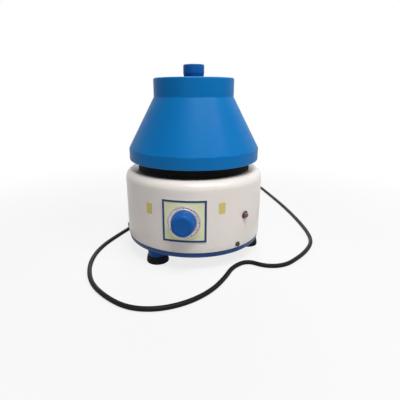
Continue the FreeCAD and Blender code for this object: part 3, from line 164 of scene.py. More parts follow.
class Graph:
    """The node tree of a material or of the surroundings."""

    def __init__(self, owner: Union[bpy.types.Material, bpy.types.World]) -> None:
        """Give the owner an empty tree.

        Args:
            owner: Material or surroundings that the tree belongs to.
        """
        owner.use_nodes = True
        self.owner = owner
        self.tree = owner.node_tree
        self.tree.nodes.clear()

    def node(self, kind: str, settings: Optional[Settings] = None,
             feeds: Optional[Feeds] = None) -> bpy.types.Node:
        """Add a node of any type.

        Args:
            kind: Blender's name for the type of node.
            settings: The node's own properties, set first.
            feeds: Number, colour, socket or value for each of the sockets named.

        Returns:
            The new node.
        """
        node = self.tree.nodes.new(kind)
        for key, setting in (settings or {}).items():
            setattr(node, key, setting)
        for key, feed in (feeds or {}).items():
            source = feed.socket if isinstance(feed, Value) else feed
            if isinstance(source, Socket):
                self.tree.links.new(source, node.inputs[key])
            else:
                node.inputs[key].default_value = source
        return node

    def value(self, kind: str, settings: Optional[Settings] = None, feeds: Optional[Feeds] = None) -> Value:
        """Add a node and take its first output as a value."""
        return Value(self, self.node(kind, settings, feeds).outputs[0])

    def maths(self, operation: str, *terms: Feed) -> Value:
        """Add a Math node on the terms given."""
        return self.value("ShaderNodeMath", {"operation": operation}, dict(enumerate(terms)))

    def place(self) -> Socket:
        """Position in the frame of the solids, in metres."""
        return self.node("ShaderNodeTexCoord").outputs["Object"]

    def axes(self) -> list[Value]:
        """Position along X, Y and Z, in metres."""
        split = self.node("ShaderNodeSeparateXYZ", None, {0: self.place()})
        return [Value(self, socket) for socket in split.outputs]

    def noise(self, scale: float, detail: float = 2.0, stretch: Triple = (1.0, 1.0, 1.0)) -> Value:
        """Cloudy pattern.

        Args:
            scale: Blobs for each metre.
            detail: Number of finer layers.
            stretch: Factors on the position along X, Y and Z.

        Returns:
            A value round 0.5.
        """
        spread = self.node("ShaderNodeVectorMath", {"operation": "MULTIPLY"}, {0: self.place(), 1: stretch})
        feeds = {"Vector": spread.outputs[0], "Scale": scale, "Detail": detail}
        return self.value("ShaderNodeTexNoise", None, feeds)

    def mix(self, amount: Feed, first: Feed, second: Feed) -> Socket:
        """Blend of two colours, with the amount as the share of the second."""
        return self.node("ShaderNodeMix", {"data_type": "RGBA"}, {0: amount, 6: first, 7: second}).outputs[2]

    def relief(self, height: Value, depth: float) -> Socket:
        """Normal of a bump from a pattern of 0 to 1, where 1 stands for the depth in millimetres."""
        return self.node("ShaderNodeBump", None, {"Distance": depth * MM, "Height": height}).outputs[0]

    def surface(self, feeds: Feeds) -> None:
        """End the tree in a Principled surface with those sockets set."""
        shader = self.node("ShaderNodeBsdfPrincipled", None, feeds)
        self.node("ShaderNodeOutputMaterial", None, {"Surface": shader.outputs[0]})


# Finishes


def linear(levels: Triple, factor: float = 1.0) -> Colour:
    """Colour for a shader.

    Args:
        levels: Red, green and blue as the eye sees them, from 0 to 255.
        factor: Share of the light to keep.

    Returns:
        The colour in linear light, with an alpha of 1.
    """
    shares = [level / 255 for level in levels]
    lights = [share / 12.92 if share <= 0.04045 else ((share + 0.055) / 1.055) ** 2.4 for share in shares]
    red, green, blue = (min(light * factor, 1.0) for light in lights)
    return red, green, blue, 1.0


@dataclass(frozen=True)
class Finish:
    """What every finish has: a name, a colour as the eye sees it, and a roughness."""

    name: str
    colour: Triple
    roughness: float = 0.4

    def tone(self, factor: float = 1.0) -> Colour:
        """The colour in linear light, darker or lighter by a factor."""
        return linear(self.colour, factor)

    def worn(self, pattern: Value, spread: float) -> Value:
        """Roughness that follows a pattern round 0.5."""
        return self.roughness + (pattern - 0.5) * spread

    def material(self) -> bpy.types.Material:
        """Make the material.

        Returns:
            The material, with its tree filled.
        """
        graph = Graph(bpy.data.materials.new(self.name))
        graph.surface(self.recipe(graph))
        return graph.owner

    def recipe(self, graph: Graph) -> Feeds:
        """What goes into the sockets of the surface, with its nodes added to the graph."""
        raise NotImplementedError


@dataclass(frozen=True)
class Enamel(Finish):
    """Sprayed enamel on sheet metal: slow changes of tone, orange peel, dust, darkening towards a lower edge,
    and painted shade round a mouth if it has one, where a lid above shades the top, made patchy by dust."""

    coat: float = 0.25
    darkening_top: float = 0.0
    darkening_depth: float = 10.0
    mouth_radius: float = 0.0
    painted_shade_width: float = 9.0
    painted_shade_base: float = DRUM_TOP - 6
    painted_shade_top: float = DRUM_TOP - 1

    def recipe(self, graph: Graph) -> Feeds:
        """Work out the look of the enamel.

        Args:
            graph: Tree that the nodes are added to.

        Returns:
            What goes into the sockets of the surface.
        """
        across, along, height = graph.axes()
        slow = graph.noise(8.0).smooth(0.3, 0.7)
        dust = graph.noise(150.0, 5.0)
        colour = graph.mix(slow, self.tone(0.95), self.tone(1.04))
        colour = graph.mix(dust.smooth(0.6, 0.75) * 0.12, colour, self.tone(0.6))
        # Darker towards the lower edge, in patches that follow the dust.
        low_edge = 1 - height.smooth((self.darkening_top - self.darkening_depth) * MM, self.darkening_top * MM)
        colour = graph.mix(low_edge * dust * 0.35, colour, self.tone(0.45))
        # Painted shade: round the mouth, the top is darkened towards black where the lid above shades it,
        # made patchy by dust.
        if self.mouth_radius:
            painted_shade_edge = self.mouth_radius + self.painted_shade_width
            near = 1 - distance(across, along).smooth(self.mouth_radius * MM, painted_shade_edge * MM)
            upper = height.smooth(self.painted_shade_base * MM, self.painted_shade_top * MM)
            colour = graph.mix(near * upper * (0.35 + dust * 0.5), colour, self.tone(0.12))
        return {
            "Base Color": colour,
            "Roughness": self.worn(dust, 0.2),
            "Normal": graph.relief(graph.noise(850.0, 1.0), 0.012),
            "Specular IOR Level": 0.3,
            "Coat Weight": self.coat,
            "Coat Roughness": 0.15,
        }


@dataclass(frozen=True)
class Moulding(Finish):
    """Moulded plastic: faint flow in its tone, fine grain, scratches, and edges rubbed at given heights."""

    rubbed: tuple[float, ...] = ()
    rubbed_width: float = 2.5
    grain: float = 0.010
    coat: float = 0.0

    def recipe(self, graph: Graph) -> Feeds:
        """Work out the look of the plastic.

        Args:
            graph: Tree that the nodes are added to.

        Returns:
            What goes into the sockets of the surface.
        """
        height = graph.axes()[2]
        flow = graph.noise(14.0, 3.0, (1.0, 1.0, 0.35)).smooth(0.25, 0.75)
        marks = graph.noise(90.0, 6.0)
        scratch = graph.noise(260.0, 3.0, (1.0, 1.0, 0.06)).smooth(0.66, 0.74)
        colour = graph.mix(flow, self.tone(0.93), self.tone(1.07))
        colour = graph.mix(scratch * 0.10, colour, self.tone(1.6))
        for level in self.rubbed:
            near = 1 - (abs(height - level * MM) / (self.rubbed_width * MM)).smooth(0.0, 1.0)
            colour = graph.mix(near * marks.smooth(0.45, 0.65) * 0.30, colour, self.tone(1.8))
        return {
            "Base Color": colour,
            "Roughness": self.worn(marks, 0.25),
            "Normal": graph.relief(graph.noise(1500.0), self.grain),
            "Specular IOR Level": 0.12,
            "Coat Weight": self.coat,
        }


@dataclass(frozen=True)
class Rubber(Finish):
    """Black rubber with a little bloom and dust in its grain."""

    dust_colour: Triple = (92, 90, 86)
    dust: float = 0.3

    def recipe(self, graph: Graph) -> Feeds:
        """Work out the look of the rubber.

        Args:
            graph: Tree that the nodes are added to.

        Returns:
            What goes into the sockets of the surface.
        """
        cloud = graph.noise(60.0, 6.0)
        grain = graph.noise(1800.0, 3.0)
        bloom = (cloud.smooth(0.5, 0.8) * grain.smooth(0.35, 0.75)) * self.dust
        return {
            "Base Color": graph.mix(bloom, self.tone(), linear(self.dust_colour)),
            "Roughness": self.worn(cloud, 0.2),
            "Normal": graph.relief(grain, 0.03),
            "Specular IOR Level": 0.12,
        }


@dataclass(frozen=True)
class TurnedMetal(Finish):
    """Stained metal off the lathe, with fine rings round an axis that is upright or points to the front."""

    upright: bool = True
    axis_height: float = 0.0
    ring_pitch: float = 0.35
    ring_depth: float = 0.004

    def recipe(self, graph: Graph) -> Feeds:
        """Work out the look of the turned metal.

        Args:
            graph: Tree that the nodes are added to.

        Returns:
            What goes into the sockets of the surface.
        """
        across, along, height = graph.axes()
        second, spare = (along, height) if self.upright else (height - self.axis_height * MM, along)
        rings = (distance(across, second) + 0.5 * spare).wave(self.ring_pitch)
        stain = graph.noise(70.0, 5.0)
        return {
            "Base Color": graph.mix(stain.smooth(0.35, 0.75), self.tone(1.02), self.tone(0.94)),
            "Metallic": 1.0,
            "Roughness": self.worn(stain, 0.1) + rings * 0.06,
            "Normal": graph.relief(rings, self.ring_depth),
        }


@dataclass(frozen=True)
class CastMetal(Finish):
    """Cast or plated metal with a granular skin."""

    skin: float = 0.05

    def recipe(self, graph: Graph) -> Feeds:
        """Work out the look of the cast metal.

        Args:
            graph: Tree that the nodes are added to.

        Returns:
            What goes into the sockets of the surface.
        """
        stain = graph.noise(50.0, 5.0)
        return {
            "Base Color": graph.mix(stain.smooth(0.3, 0.75), self.tone(1.05), self.tone(0.75)),
            "Metallic": 1.0,
            "Roughness": self.worn(stain, 0.3),
            "Normal": graph.relief(graph.noise(700.0, 4.0), self.skin),
        }


@dataclass(frozen=True)
class Layered(Finish):
    """Stacked sheets or wound wire: fine lines one above another, with darker joints."""

    pitch: float = 0.5
    depth: float = 0.05

    def recipe(self, graph: Graph) -> Feeds:
        """Work out the look of the layers.

        Args:
            graph: Tree that the nodes are added to.

        Returns:
            What goes into the sockets of the surface.
        """
        lines = graph.axes()[2].wave(self.pitch)
        stain = graph.noise(90.0, 5.0)
        colour = graph.mix(lines, self.tone(0.55), self.tone(1.1))
        return {
            "Base Color": graph.mix(stain.smooth(0.5, 0.8) * 0.5, colour, self.tone(0.5)),
            "Metallic": 0.7,
            "Roughness": self.worn(stain, 0.2),
            "Normal": graph.relief(lines, self.depth),
        }


@dataclass(frozen=True)
class PrintedSheet(Finish):
    """Painted thin sheet, paler in the middle and a little yellow towards its edges."""

    middle: Triple = (214, 214, 200)
    middle_height: float = CONTROL_HEIGHT
    reach: float = 27.0

    def recipe(self, graph: Graph) -> Feeds:
        """Work out the look of the sheet.

        Args:
            graph: Tree that the nodes are added to.

        Returns:
            What goes into the sockets of the surface.
        """
        across, _, height = graph.axes()
        cloud = graph.noise(120.0, 5.0)
        spread = distance(across, height - self.middle_height * MM) + (cloud - 0.5) * 0.006
        edge = spread.smooth(0.5 * self.reach * MM, self.reach * MM)
        colour = graph.mix(edge, linear(self.middle), self.tone())
        return {
            "Base Color": graph.mix(cloud.smooth(0.6, 0.75) * 0.12, colour, self.tone(0.6)),
            "Roughness": self.worn(cloud, 0.2),
            "Normal": graph.relief(graph.noise(900.0), 0.006),
        }


@dataclass(frozen=True)
class TintedLens(Finish):
    """Clear coloured moulding with a bright skin over a ribbed inside."""

    def recipe(self, graph: Graph) -> Feeds:
        """Work out the look of the lens.

        Args:
            graph: Tree that the nodes are added to.

        Returns:
            What goes into the sockets of the surface.
        """
        cells = graph.noise(900.0, 1.0)
        return {
            "Base Color": graph.mix(cells.smooth(0.35, 0.7), self.tone(0.6), self.tone(1.5)),
            "Roughness": self.worn(cells, 0.05),
            "Coat Weight": 1.0,
            "Coat Roughness": 0.04,
            "Transmission Weight": 0.25,
            "IOR": 1.49,
        }


class Coat(Enum):
    """Finishes of the object's pieces."""

    # The drum's enamel carries painted shade round its mouth, under the lid.
    DRUM = Enamel("drum_white_enamel", (240, 232, 226), 0.38, 0.25, 34.0, 9.0, 80.0)
    RIM = Enamel("navy_rim_enamel", (24, 70, 128), 0.4, 0.05, 21.0, 3.0)
    LID = Moulding("blue_lid_moulding", (6, 113, 182), 0.42, (134.5, 150.5, 219.9))
    HANDLE = Moulding("blue_handle_moulding", (16, 96, 165), 0.42, (262.0,), 1.5)
    STEM = Moulding("navy_stem_moulding", (16, 70, 142), 0.42)
    SPEED_KNOB = Moulding("blue_knob_moulding", (12, 88, 164), 0.4, (), 2.5, 0.008, 0.05)
    RUBBER = Rubber("black_rubber", (15, 15, 16), 0.7, (60, 59, 57), 0.15)
    SHEATH = Rubber("black_lead_sheath", (17, 17, 18), 0.48, (60, 60, 60), 0.15)
    PLUG = Moulding("black_plug_moulding", (20, 20, 22), 0.45)
    INNER_PLASTIC = Moulding("black_inner_moulding", (26, 26, 28), 0.5)
    RESIN = Moulding("brown_resin_moulding", (92, 58, 34), 0.4)
    CARBON = Rubber("pressed_carbon", (30, 30, 32), 0.6, (70, 70, 74), 0.4)
    PLATE = PrintedSheet("cream_plate_paint", (230, 232, 190), 0.5, (234, 234, 216))
    BORDER = Enamel("navy_border_print", (28, 70, 118), 0.5, 0.0)
    PATCH = Enamel("yellow_patch_print", (222, 202, 118), 0.5, 0.05)
    DIAL = TurnedMetal("dial_turned_metal", (206, 199, 200), 0.36, False, CONTROL_HEIGHT, 0.4, 0.003)
    MARKS = Enamel("dial_mark_paint", (96, 48, 46), 0.5, 0.0)
    HEAD = TurnedMetal("head_turned_metal", (172, 174, 178), 0.42, True, 0.0, 0.8, 0.006)
    BOWL = CastMetal("bowl_pressed_metal", (176, 178, 180), 0.4, 0.01)
    CASTING = CastMetal("bracket_casting", (158, 160, 162), 0.5)
    STEEL = TurnedMetal("ground_steel", (188, 190, 194), 0.28, True, 0.0, 0.3, 0.002)
    ZINC = CastMetal("zinc_plate", (186, 182, 172), 0.38, 0.008)
    BEZEL = TurnedMetal("lamp_bezel_metal", (88, 70, 66), 0.34, True, 0.0, 0.5, 0.002)
    SCREW = CastMetal("blackened_screw", (84, 82, 79), 0.42, 0.006)
    STACK = Layered("stacked_core_sheet", (74, 76, 80), 0.5, 0.5, 0.04)
    COPPER = Layered("copper_winding", (176, 98, 56), 0.38, 0.9, 0.12)
    BRASS = CastMetal("nickel_pin_metal", (204, 196, 176), 0.28, 0.004)
    LENS = TintedLens("dark_red_lens", (96, 20, 20), 0.14)


# Mesh making


def even(low: float, high: float, count: int) -> list[float]:
    """Evenly spaced numbers from low to high, both included."""
    return [low + (high - low) * step / (count - 1) for step in range(count)]


def polar(radius: float, angle: float, height: float = 0.0) -> Vector:
    """Point at an angle in radians, counted from +X towards +Y."""
    return Vector((radius * math.cos(angle), radius * math.sin(angle), height))


def from_front(radius: float, angle: float, height: float = 0.0) -> Vector:
    """Point at an angle round the drum."""
    turn = math.radians(angle)
    return Vector((radius * math.sin(turn), -radius * math.cos(turn), height))


def outward(angle: float, height: float, reach: float) -> Matrix:
    """Frame at a reach from the spin axis, with +Z out of the drum at an angle and +Y up."""
    spin = Matrix.Rotation(math.radians(angle), 4, "Z")
    return Matrix.Translation((0, 0, height)) @ spin @ TIPPED @ Matrix.Translation((0, 0, reach))


def rounded(corners: Sequence[Corner], steps: int) -> list[Pair]:
    """Outline with its corners rounded off.

    Args:
        corners: Corners of a closed outline, each with an optional rounding radius as a third number.
        steps: Runs in each rounding.

    Returns:
        Points of the outline.
    """
    points: list[Pair] = []
    for index, corner in enumerate(corners):
        here = Vector(corner[:2])
        if len(corner) < 3:
            points.append(tuple(here))
            continue
        back = (Vector(corners[index - 1][:2]) - here).normalized()
        ahead = (Vector(corners[(index + 1) % len(corners)][:2]) - here).normalized()
        half = back.angle(ahead) / 2
        radius = corner[2]
        centre = here + (back + ahead).normalized() * (radius / math.sin(half))
        first = here + back * (radius / math.tan(half)) - centre
        last = here + ahead * (radius / math.tan(half)) - centre
        swing = first.angle_signed(last)
        for step in range(steps + 1):
            turn = Matrix.Rotation(-swing * step / steps, 2)
            points.append(tuple(centre + turn @ first))
    return points


def add_object(name: str, data: bpy.types.ID) -> Item:
    """Make an object and link it to the scene.

    Args:
        name: Name of the object.
        data: Mesh, curve, lamp or camera that it shows.

    Returns:
        The object.
    """
    item = bpy.data.objects.new(name, data)
    bpy.context.scene.collection.objects.link(item)
    return item


def finish_mesh(name: str, shape: Shape) -> Item:
    """Turn a shape in millimetres into an object in metres, with smooth faces and sharp edges kept.

    Args:
        name: Name of the object.
        shape: The shape, which is freed.

    Returns:
        The object, linked to the scene.
    """
    bmesh.ops.remove_doubles(shape, verts=shape.verts, dist=WELD_DISTANCE)
    bmesh.ops.recalc_face_normals(shape, faces=shape.faces)
    bmesh.ops.scale(shape, vec=(MM, MM, MM), verts=shape.verts)
    for face in shape.faces:
        face.smooth = True
    for edge in shape.edges:
        edge.smooth = not (len(edge.link_faces) == 2 and edge.calc_face_angle(0.0) > SHARP_ANGLE)
    mesh = bpy.data.meshes.new(name)
    shape.to_mesh(mesh)
    shape.free()
    return add_object(name, mesh)


def bridge(shape: Shape, one: Loop, other: Loop) -> None:
    """Join two closed loops by faces.

    Args:
        shape: Shape to add to.
        one: Points of a loop, in order, or a single point.
        other: As many points of the other loop, or a single point.
    """
    count = max(len(one), len(other))
    for here in range(count):
        after = (here + 1) % count
        corners = [one[here % len(one)], one[after % len(one)],
                   other[after % len(other)], other[here % len(other)]]
        shape.faces.new(list(dict.fromkeys(corners)))


def add_prism(shape: Shape, outline: Sequence[Corner], low: float, high: float, frame: Matrix) -> None:
    """Add a straight prism.

    Args:
        shape: Shape to add to.
        outline: Points (across, up) of a closed outline, in order.
        low: Height of one end.
        high: Height of the other end.
        frame: Where the prism stands and which way it points.
    """
    ends = [[shape.verts.new(frame @ Vector((x, y, level))) for x, y in outline] for level in (low, high)]
    bridge(shape, *ends)
    shape.faces.new(ends[0][::-1])
    shape.faces.new(ends[1])


@dataclass(frozen=True)
class Turning:
    """A turned solid: name, corners of radius, height and optional rounding, sides, runs in a rounding."""

    name: str
    corners: Outline
    sides: int
    steps: int = 1

    def add(self, shape: Shape, frame: Matrix) -> Shape:
        """Add the solid to a shape.

        Args:
            shape: Shape to add to.
            frame: Where the solid stands; its axis points along +Z.

        Returns:
            The shape.
        """
        rings = []
        for radius, height in rounded(self.corners, self.steps):
            count = 1 if radius < TINY else self.sides
            spots = [polar(radius, FULL_TURN * side / self.sides, height) for side in range(count)]
            rings.append([shape.verts.new(frame @ spot) for spot in spots])
        for ring, following in zip(rings, rings[1:] + rings[:1]):
            if len(ring) > 1 or len(following) > 1:
                bridge(shape, ring, following)
        return shape

    def make(self, frame: Matrix = UPRIGHT, owner: str = "") -> Item:
        """Object of the solid in a frame, with its owner's name before its own."""
        return finish_mesh(owner + self.name, self.add(bmesh.new(), frame))


def curved_sheet(name: str, angles: Sequence[float], heights: Sequence[float], back: float, front: float,
                 hole: Collection[tuple[int, int]] = ()) -> Item:
    """Thin sheet bent round the drum, made of cells between angles and heights.

    Args:
        name: Name of the object.
        angles: Edges of the cells round the drum.
        heights: Edges of the cells up the drum.
        back: Radius of the back.
        front: Radius of the front.
        hole: Column and row of each cell that is left out.

    Returns:
        The object.
    """
    shape = bmesh.new()
    cells = [(column, row) for column in range(len(angles) - 1) for row in range(len(heights) - 1)
             if (column, row) not in hole]
    for column, row in cells:
        corners = [(column, row), (column + 1, row), (column + 1, row + 1), (column, row + 1)]
        beside = [(column, row - 1), (column + 1, row), (column, row + 1), (column - 1, row)]
        inner, outer = ([from_front(radius, angles[at], heights[up]) for at, up in corners]
                        for radius in (back, front))
        faces = [inner, outer]
        for side, neighbour in enumerate(beside):
            after = (side + 1) % len(corners)
            if neighbour not in cells:
                faces.append([inner[side], inner[after], outer[after], outer[side]])
        for face in faces:
            shape.faces.new([shape.verts.new(spot) for spot in face])
    return finish_mesh(name, shape)


# Placing


@dataclass
class Bench:
    """The solids on which pieces are placed, and the materials made so far."""

    nodes: Mapping[str, Item]
    materials: dict[Coat, bpy.types.Material] = field(default_factory=dict)

    def paint(self, item: Item, coat: Coat) -> None:
        """Give an object a coat in place of what it has. The coat's material is made on first use.

        Args:
            item: The object.
            coat: Its finish.
        """
        if coat not in self.materials:
            self.materials[coat] = coat.value.material()
        item.data.materials.clear()
        item.data.materials.append(self.materials[coat])

    def dress(self, coat: Coat, *names: str) -> None:
        """Give solids a coat.

        Args:
            coat: Their finish.
            names: Names of the solids.
        """
        for name in names:
            self.paint(self.nodes[name], coat)
            LOG.info("dressed %s in %s", name, coat.value.name)

    def place(self, item: Item, coat: Coat, slot: str, *stands_for: str, body: Body = Body.HOUSING) -> Item:
        """Put a made piece on a body.

        Args:
            item: The piece, already in its place.
            coat: Its finish.
            slot: Material slot of the record that its finish belongs to; not used.
            stands_for: Solids that it is shown in place of.
            body: Body that it rides on.

        Returns:
            The piece.
        """
        self.paint(item, coat)
        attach(item, body.value)
        if stands_for:
            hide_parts(*stands_for)
        LOG.info("placed %s on %s", item.name, body.value)
        return item


# Sub-assemblies


@dataclass
class Drum:
    """White shell with its screws, navy pan and rubber ring. Heights on a screw are counted from its seat."""

    shell: Turning = Turning("drum_shell", (
        (98, 26.3), (DRUM_RADIUS, 26.3, 0.7), (DRUM_RADIUS, DRUM_TOP, 12), (79.5, DRUM_TOP, 0.6), (79.5, 119),
        (98, 119, 10)), 160, 12)
    rim_band: Turning = Turning("pan_rim_band", (
        (95.25, 19.25), (98.65, 19.25, 0.8), (98.65, 26.2, 0.3), (97.75, 26.2), (97.75, 23.65),
        (95.25, 20.45)), 160, 4)
    mouth_ring: Turning = Turning("mouth_ring", (
        (76.5, 119), (79.3, 119), (79.3, DRUM_TOP), (81, DRUM_TOP), (81, 123.2, 0.3), (80.3, 124, 0.3),
        (81, 124.8, 0.3), (81, 126.7, 0.3), (80.3, 127.5, 0.3), (81, 128.3, 0.3), (81, 130.2, 0.3),
        (80.3, 131, 0.3), (81, 131.8, 0.3), (81, 134, 0.45), (76.5, 134, 0.45)), 120, 3)
    screw: Turning = Turning("slotted_screws", (
        (0, -8), (2, -8), (2, 0), (3.4, 0, 0.2), (3.4, 0.8, 0.3), (0, 0.8)), 28, 3)
    screw_angles: tuple[float, ...] = (43.0, 163.0, 283.0)
    screw_height: float = 31.3
    screw_seat: float = 100.05
    screw_head: float = 3.4
    screw_slot: float = 0.9
    crown_share: float = 0.93
    crown_span: Pair = (0.7, 1.8)
    bow_points: int = 13

    def screws(self) -> Item:
        """Make the screws through the shell into the pan, each with two bows that leave its slot open.

        Returns:
            All the screws as one object.
        """
        shape, half = bmesh.new(), self.screw_slot / 2
        reach = math.sqrt(self.screw_head ** 2 - half ** 2) * self.crown_share
        rise = self.screw_head * self.crown_share - half
        turns = even(0, FULL_TURN / 2, self.bow_points)
        bow = [(reach * math.cos(turn), half + rise * math.sin(turn)) for turn in turns]
        for angle in self.screw_angles:
            frame = outward(angle, self.screw_height, self.screw_seat)
            self.screw.add(shape, frame)
            for way in (1, -1):
                add_prism(shape, [(x, way * y) for x, y in bow], *self.crown_span, frame)
        return finish_mesh(self.screw.name, shape)

    def build(self, bench: Bench) -> None:
        """Make and place the drum's pieces.

        Args:
            bench: Where the pieces are placed.
        """
        bench.place(self.shell.make(), Coat.DRUM, "drum_white", "body_shell")
        bench.place(self.mouth_ring.make(), Coat.RUBBER, "black_rubber", "mouth_gasket")
        bench.place(self.screws(), Coat.SCREW, "zinc_steel", "shell_screws")
        bench.place(self.rim_band.make(), Coat.RIM, "rim_blue")
        bench.dress(Coat.RIM, "base_pan")
        bench.dress(Coat.BOWL, "chamber_bowl")


@dataclass
class Feet:
    """Three navy stems on black rubber cups with two grooves round them."""

    circle: float = 84.0
    places: tuple[tuple[str, float], ...] = (("front", -30.0), ("right", 90.0), ("rear", 210.0))
    stem: Turning = Turning("_stem", ((3.3, 10), (13.4, 10, 0.6), (13.4, 19.3, 0.6), (3.3, 19.3)), 56, 4)
    rubber: Turning = Turning("_rubber", (
        (3.3, 5), (8.25, 5, 0.6), (11, 0, 0.4), (15.5, 0, 0.7), (15.5, 2.6, 0.5), (14.6, 3.2, 0.3),
        (15.25, 3.9, 0.4), (14.9, 6.4, 0.4), (14.2, 6.9, 0.3), (14.7, 7.5, 0.4), (14.2, 10, 0.8),
        (3.3, 10)), 56, 3)

    def build(self, bench: Bench) -> None:
        """Make and place the feet.

        Args:
            bench: Where the pieces are placed.
        """
        for name, angle in self.places:
            frame = Matrix.Translation(from_front(self.circle, angle))
            bench.place(self.stem.make(frame, name), Coat.STEM, "stem_blue", f"{name}_foot_stem")
            bench.place(self.rubber.make(frame, name), Coat.RUBBER, "black_rubber", f"{name}_rubber_foot")
        bench.dress(Coat.ZINC, "foot_bolts")


@dataclass
class Lid:
    """Hollow blue lid of band, cone and crown, with its seat ring and a handle that has a dished top."""

    cover: Turning = Turning("lid_cover", (
        (90.2, 134), (93.2, 134, 2.2), (93.2, 150.7, 2.4), (56, 219.9, 1.6), (56, 244.9, 2.5), (2.7, 244.9),
        (2.7, 241.9), (53, 241.9, 2), (53, 219.2, 1.6), (90.2, 150, 2.4)), 160, 8)
    handle: Turning = Turning("lid_handle", (
        (2.7, 244.9), (13.3, 244.9, 0.5), (14.5, 251, 3), (14.5, 262.4, 1.8), (10.5, 262.4, 0.8),
        (9.5, 261.5, 0.8), (0, 261.5), (0, 256), (2.7, 256)), 72, 5)

    def build(self, bench: Bench) -> None:
        """Make and place the lid's pieces.

        Args:
            bench: Where the pieces are placed.
        """
        bench.place(self.cover.make(), Coat.LID, "lid_blue", "lid_shell", body=Body.LID)
        bench.place(self.handle.make(), Coat.HANDLE, "knob_blue", "lid_knob", body=Body.LID)
        bench.dress(Coat.INNER_PLASTIC, "lid_seat_ring")
        bench.dress(Coat.ZINC, "lid_knob_screw", "lid_knob_washer")


@dataclass
class Control:
    """Square plate with its border, patches beside it, dial ring with marks, and speed knob.

    Heights on the dial and on the knob are counted from where each starts. A mark is given by its half width
    and its start, and a patch by its name, angle and middle height.
    """

    plate_size: float = 56.5
    border: float = 2.7
    border_back: float = 100.6
    border_front: float = 100.9
    border_edges: int = 15
    patches: tuple[tuple[str, float, float], ...] = (("left_patch", -28.2, 82.5), ("right_patch", 28.2, 86.5))
    patch_half_angle: float = 2.6
    patch_half_height: float = 7.25
    patch_back: float = 99.98
    patch_front: float = 100.25
    patch_edges: tuple[int, int] = (7, 4)
    dial_front: float = 103.1
    bezel: Turning = Turning("dial_bezel", (
        (20.55, -0.3), (21.4, -0.3), (21.4, 0.5, 0.3), (20.55, 0.5, 0.3)), 96, 3)
    collar: Turning = Turning("dial_collar", (
        (16.7, -0.3), (18.2, -0.3), (18.2, 0.7, 0.35), (16.7, 0.7, 0.35)), 80, 4)
    line: Turning = Turning("dial_marks", ((20.1, -0.05), (20.35, -0.05), (20.35, 0.12), (20.1, 0.12)), 80)
    mark_count: int = 31
    marks_per_main: int = 3
    main_mark: Pair = (0.5, 18.4)
    fine_mark: Pair = (0.32, 18.9)
    mark_end: float = 20.0
    mark_span: Pair = (-0.05, 0.12)
    sweep: float = 300.0
    knob_base: float = 103.6
    knob: Turning = Turning("speed_dial_knob", (
        (10, 0), (16, 0, 0.4), (16, 2.2, 0.6), (15.3, 3, 0.5), (14.4, 15, 4.2), (9, 15, 0.5),
        (8.5, 14.6, 0.4), (0, 14.6), (0, 11), (3.05, 11), (3.05, 5), (10, 5)), 80, 4)
    pointer_outline: Outline = ((-0.5, 4.5, 0.4), (0.5, 4.5, 0.4), (0.5, 8, 0.4), (-0.5, 8, 0.4))
    pointer_span: Pair = (14.5, 14.98)

    def frame(self, reach: float, turn: float = 0.0) -> Matrix:
        """Frame on the knob's axis, turned by degrees: +Z out of the front, +Y up before the turn."""
        return outward(0.0, CONTROL_HEIGHT, reach) @ Matrix.Rotation(math.radians(turn), 4, "Z")

    def plate_border(self) -> Item:
        """Make the printed border round the plate, a little proud of it.

        Returns:
            The border.
        """
        reach = self.plate_size / 2
        half = math.degrees(math.asin(reach / DRUM_RADIUS))
        inner = half - math.degrees(self.border / DRUM_RADIUS)
        angles = [-half, *even(-inner, inner, self.border_edges), half]
        steps = (-reach, self.border - reach, reach - self.border, reach)
        heights = [CONTROL_HEIGHT + step for step in steps]
        hole = [(column, 1) for column in range(1, len(angles) - 2)]
        return curved_sheet("plate_border", angles, heights, self.border_back, self.border_front, hole)

    def patch(self, name: str, angle: float, middle: float) -> Item:
        """Make a blank printed patch beside the plate.

        Args:
            name: Name of the object.
            angle: Place round the drum.
            middle: Height of its middle.

        Returns:
            The patch.
        """
        columns, rows = self.patch_edges
        angles = even(angle - self.patch_half_angle, angle + self.patch_half_angle, columns)
        heights = even(middle - self.patch_half_height, middle + self.patch_half_height, rows)
        return curved_sheet(name, angles, heights, self.patch_back, self.patch_front)

    def marks(self) -> Item:
        """Make the graduations and a line round them, raised from the dial ring.

        Returns:
            Marks and line as one object.
        """
        shape = bmesh.new()
        for index, turn in enumerate(even(self.sweep / 2, -self.sweep / 2, self.mark_count)):
            half, start = self.fine_mark if index % self.marks_per_main else self.main_mark
            outline = [(-half, start), (half, start), (half, self.mark_end), (-half, self.mark_end)]
            add_prism(shape, outline, *self.mark_span, self.frame(self.dial_front, turn))
        return finish_mesh(self.line.name, self.line.add(shape, self.frame(self.dial_front)))

    def pointer(self) -> Item:
        """Make the short moulded rib on the knob's face that shows where it stands.

        Returns:
            The rib.
        """
        shape = bmesh.new()
        frame = self.frame(self.knob_base, self.sweep / 2)
        add_prism(shape, rounded(self.pointer_outline, 3), *self.pointer_span, frame)
        return finish_mesh("knob_pointer", shape)

    def build(self, bench: Bench) -> None:
        """Make and place the control's pieces.

        Args:
            bench: Where the pieces are placed.
        """
        bench.dress(Coat.PLATE, "dial_plate")
        bench.dress(Coat.DIAL, "dial_ring")
        bench.place(self.plate_border(), Coat.BORDER, "plate_cream")
        for patch in self.patches:
            bench.place(self.patch(*patch), Coat.PATCH, "plate_cream")
        bench.place(self.marks(), Coat.MARKS, "bright_metal")
        for ring in (self.bezel, self.collar):
            bench.place(ring.make(self.frame(self.dial_front)), Coat.DIAL, "bright_metal")
        knob = self.knob.make(self.frame(self.knob_base))
        bench.place(knob, Coat.SPEED_KNOB, "knob_blue", "speed_knob", body=Body.KNOB)
        bench.place(self.pointer(), Coat.SPEED_KNOB, "knob_blue", body=Body.KNOB)
        bench.dress(Coat.RESIN, "regulator_base")
        bench.dress(Coat.COPPER, "regulator_winding")
        bench.dress(Coat.BRASS, "regulator_wiper")
        bench.dress(Coat.STEEL, "regulator_shaft", "knob_set_screw")
        bench.dress(Coat.ZINC, "regulator_nut")


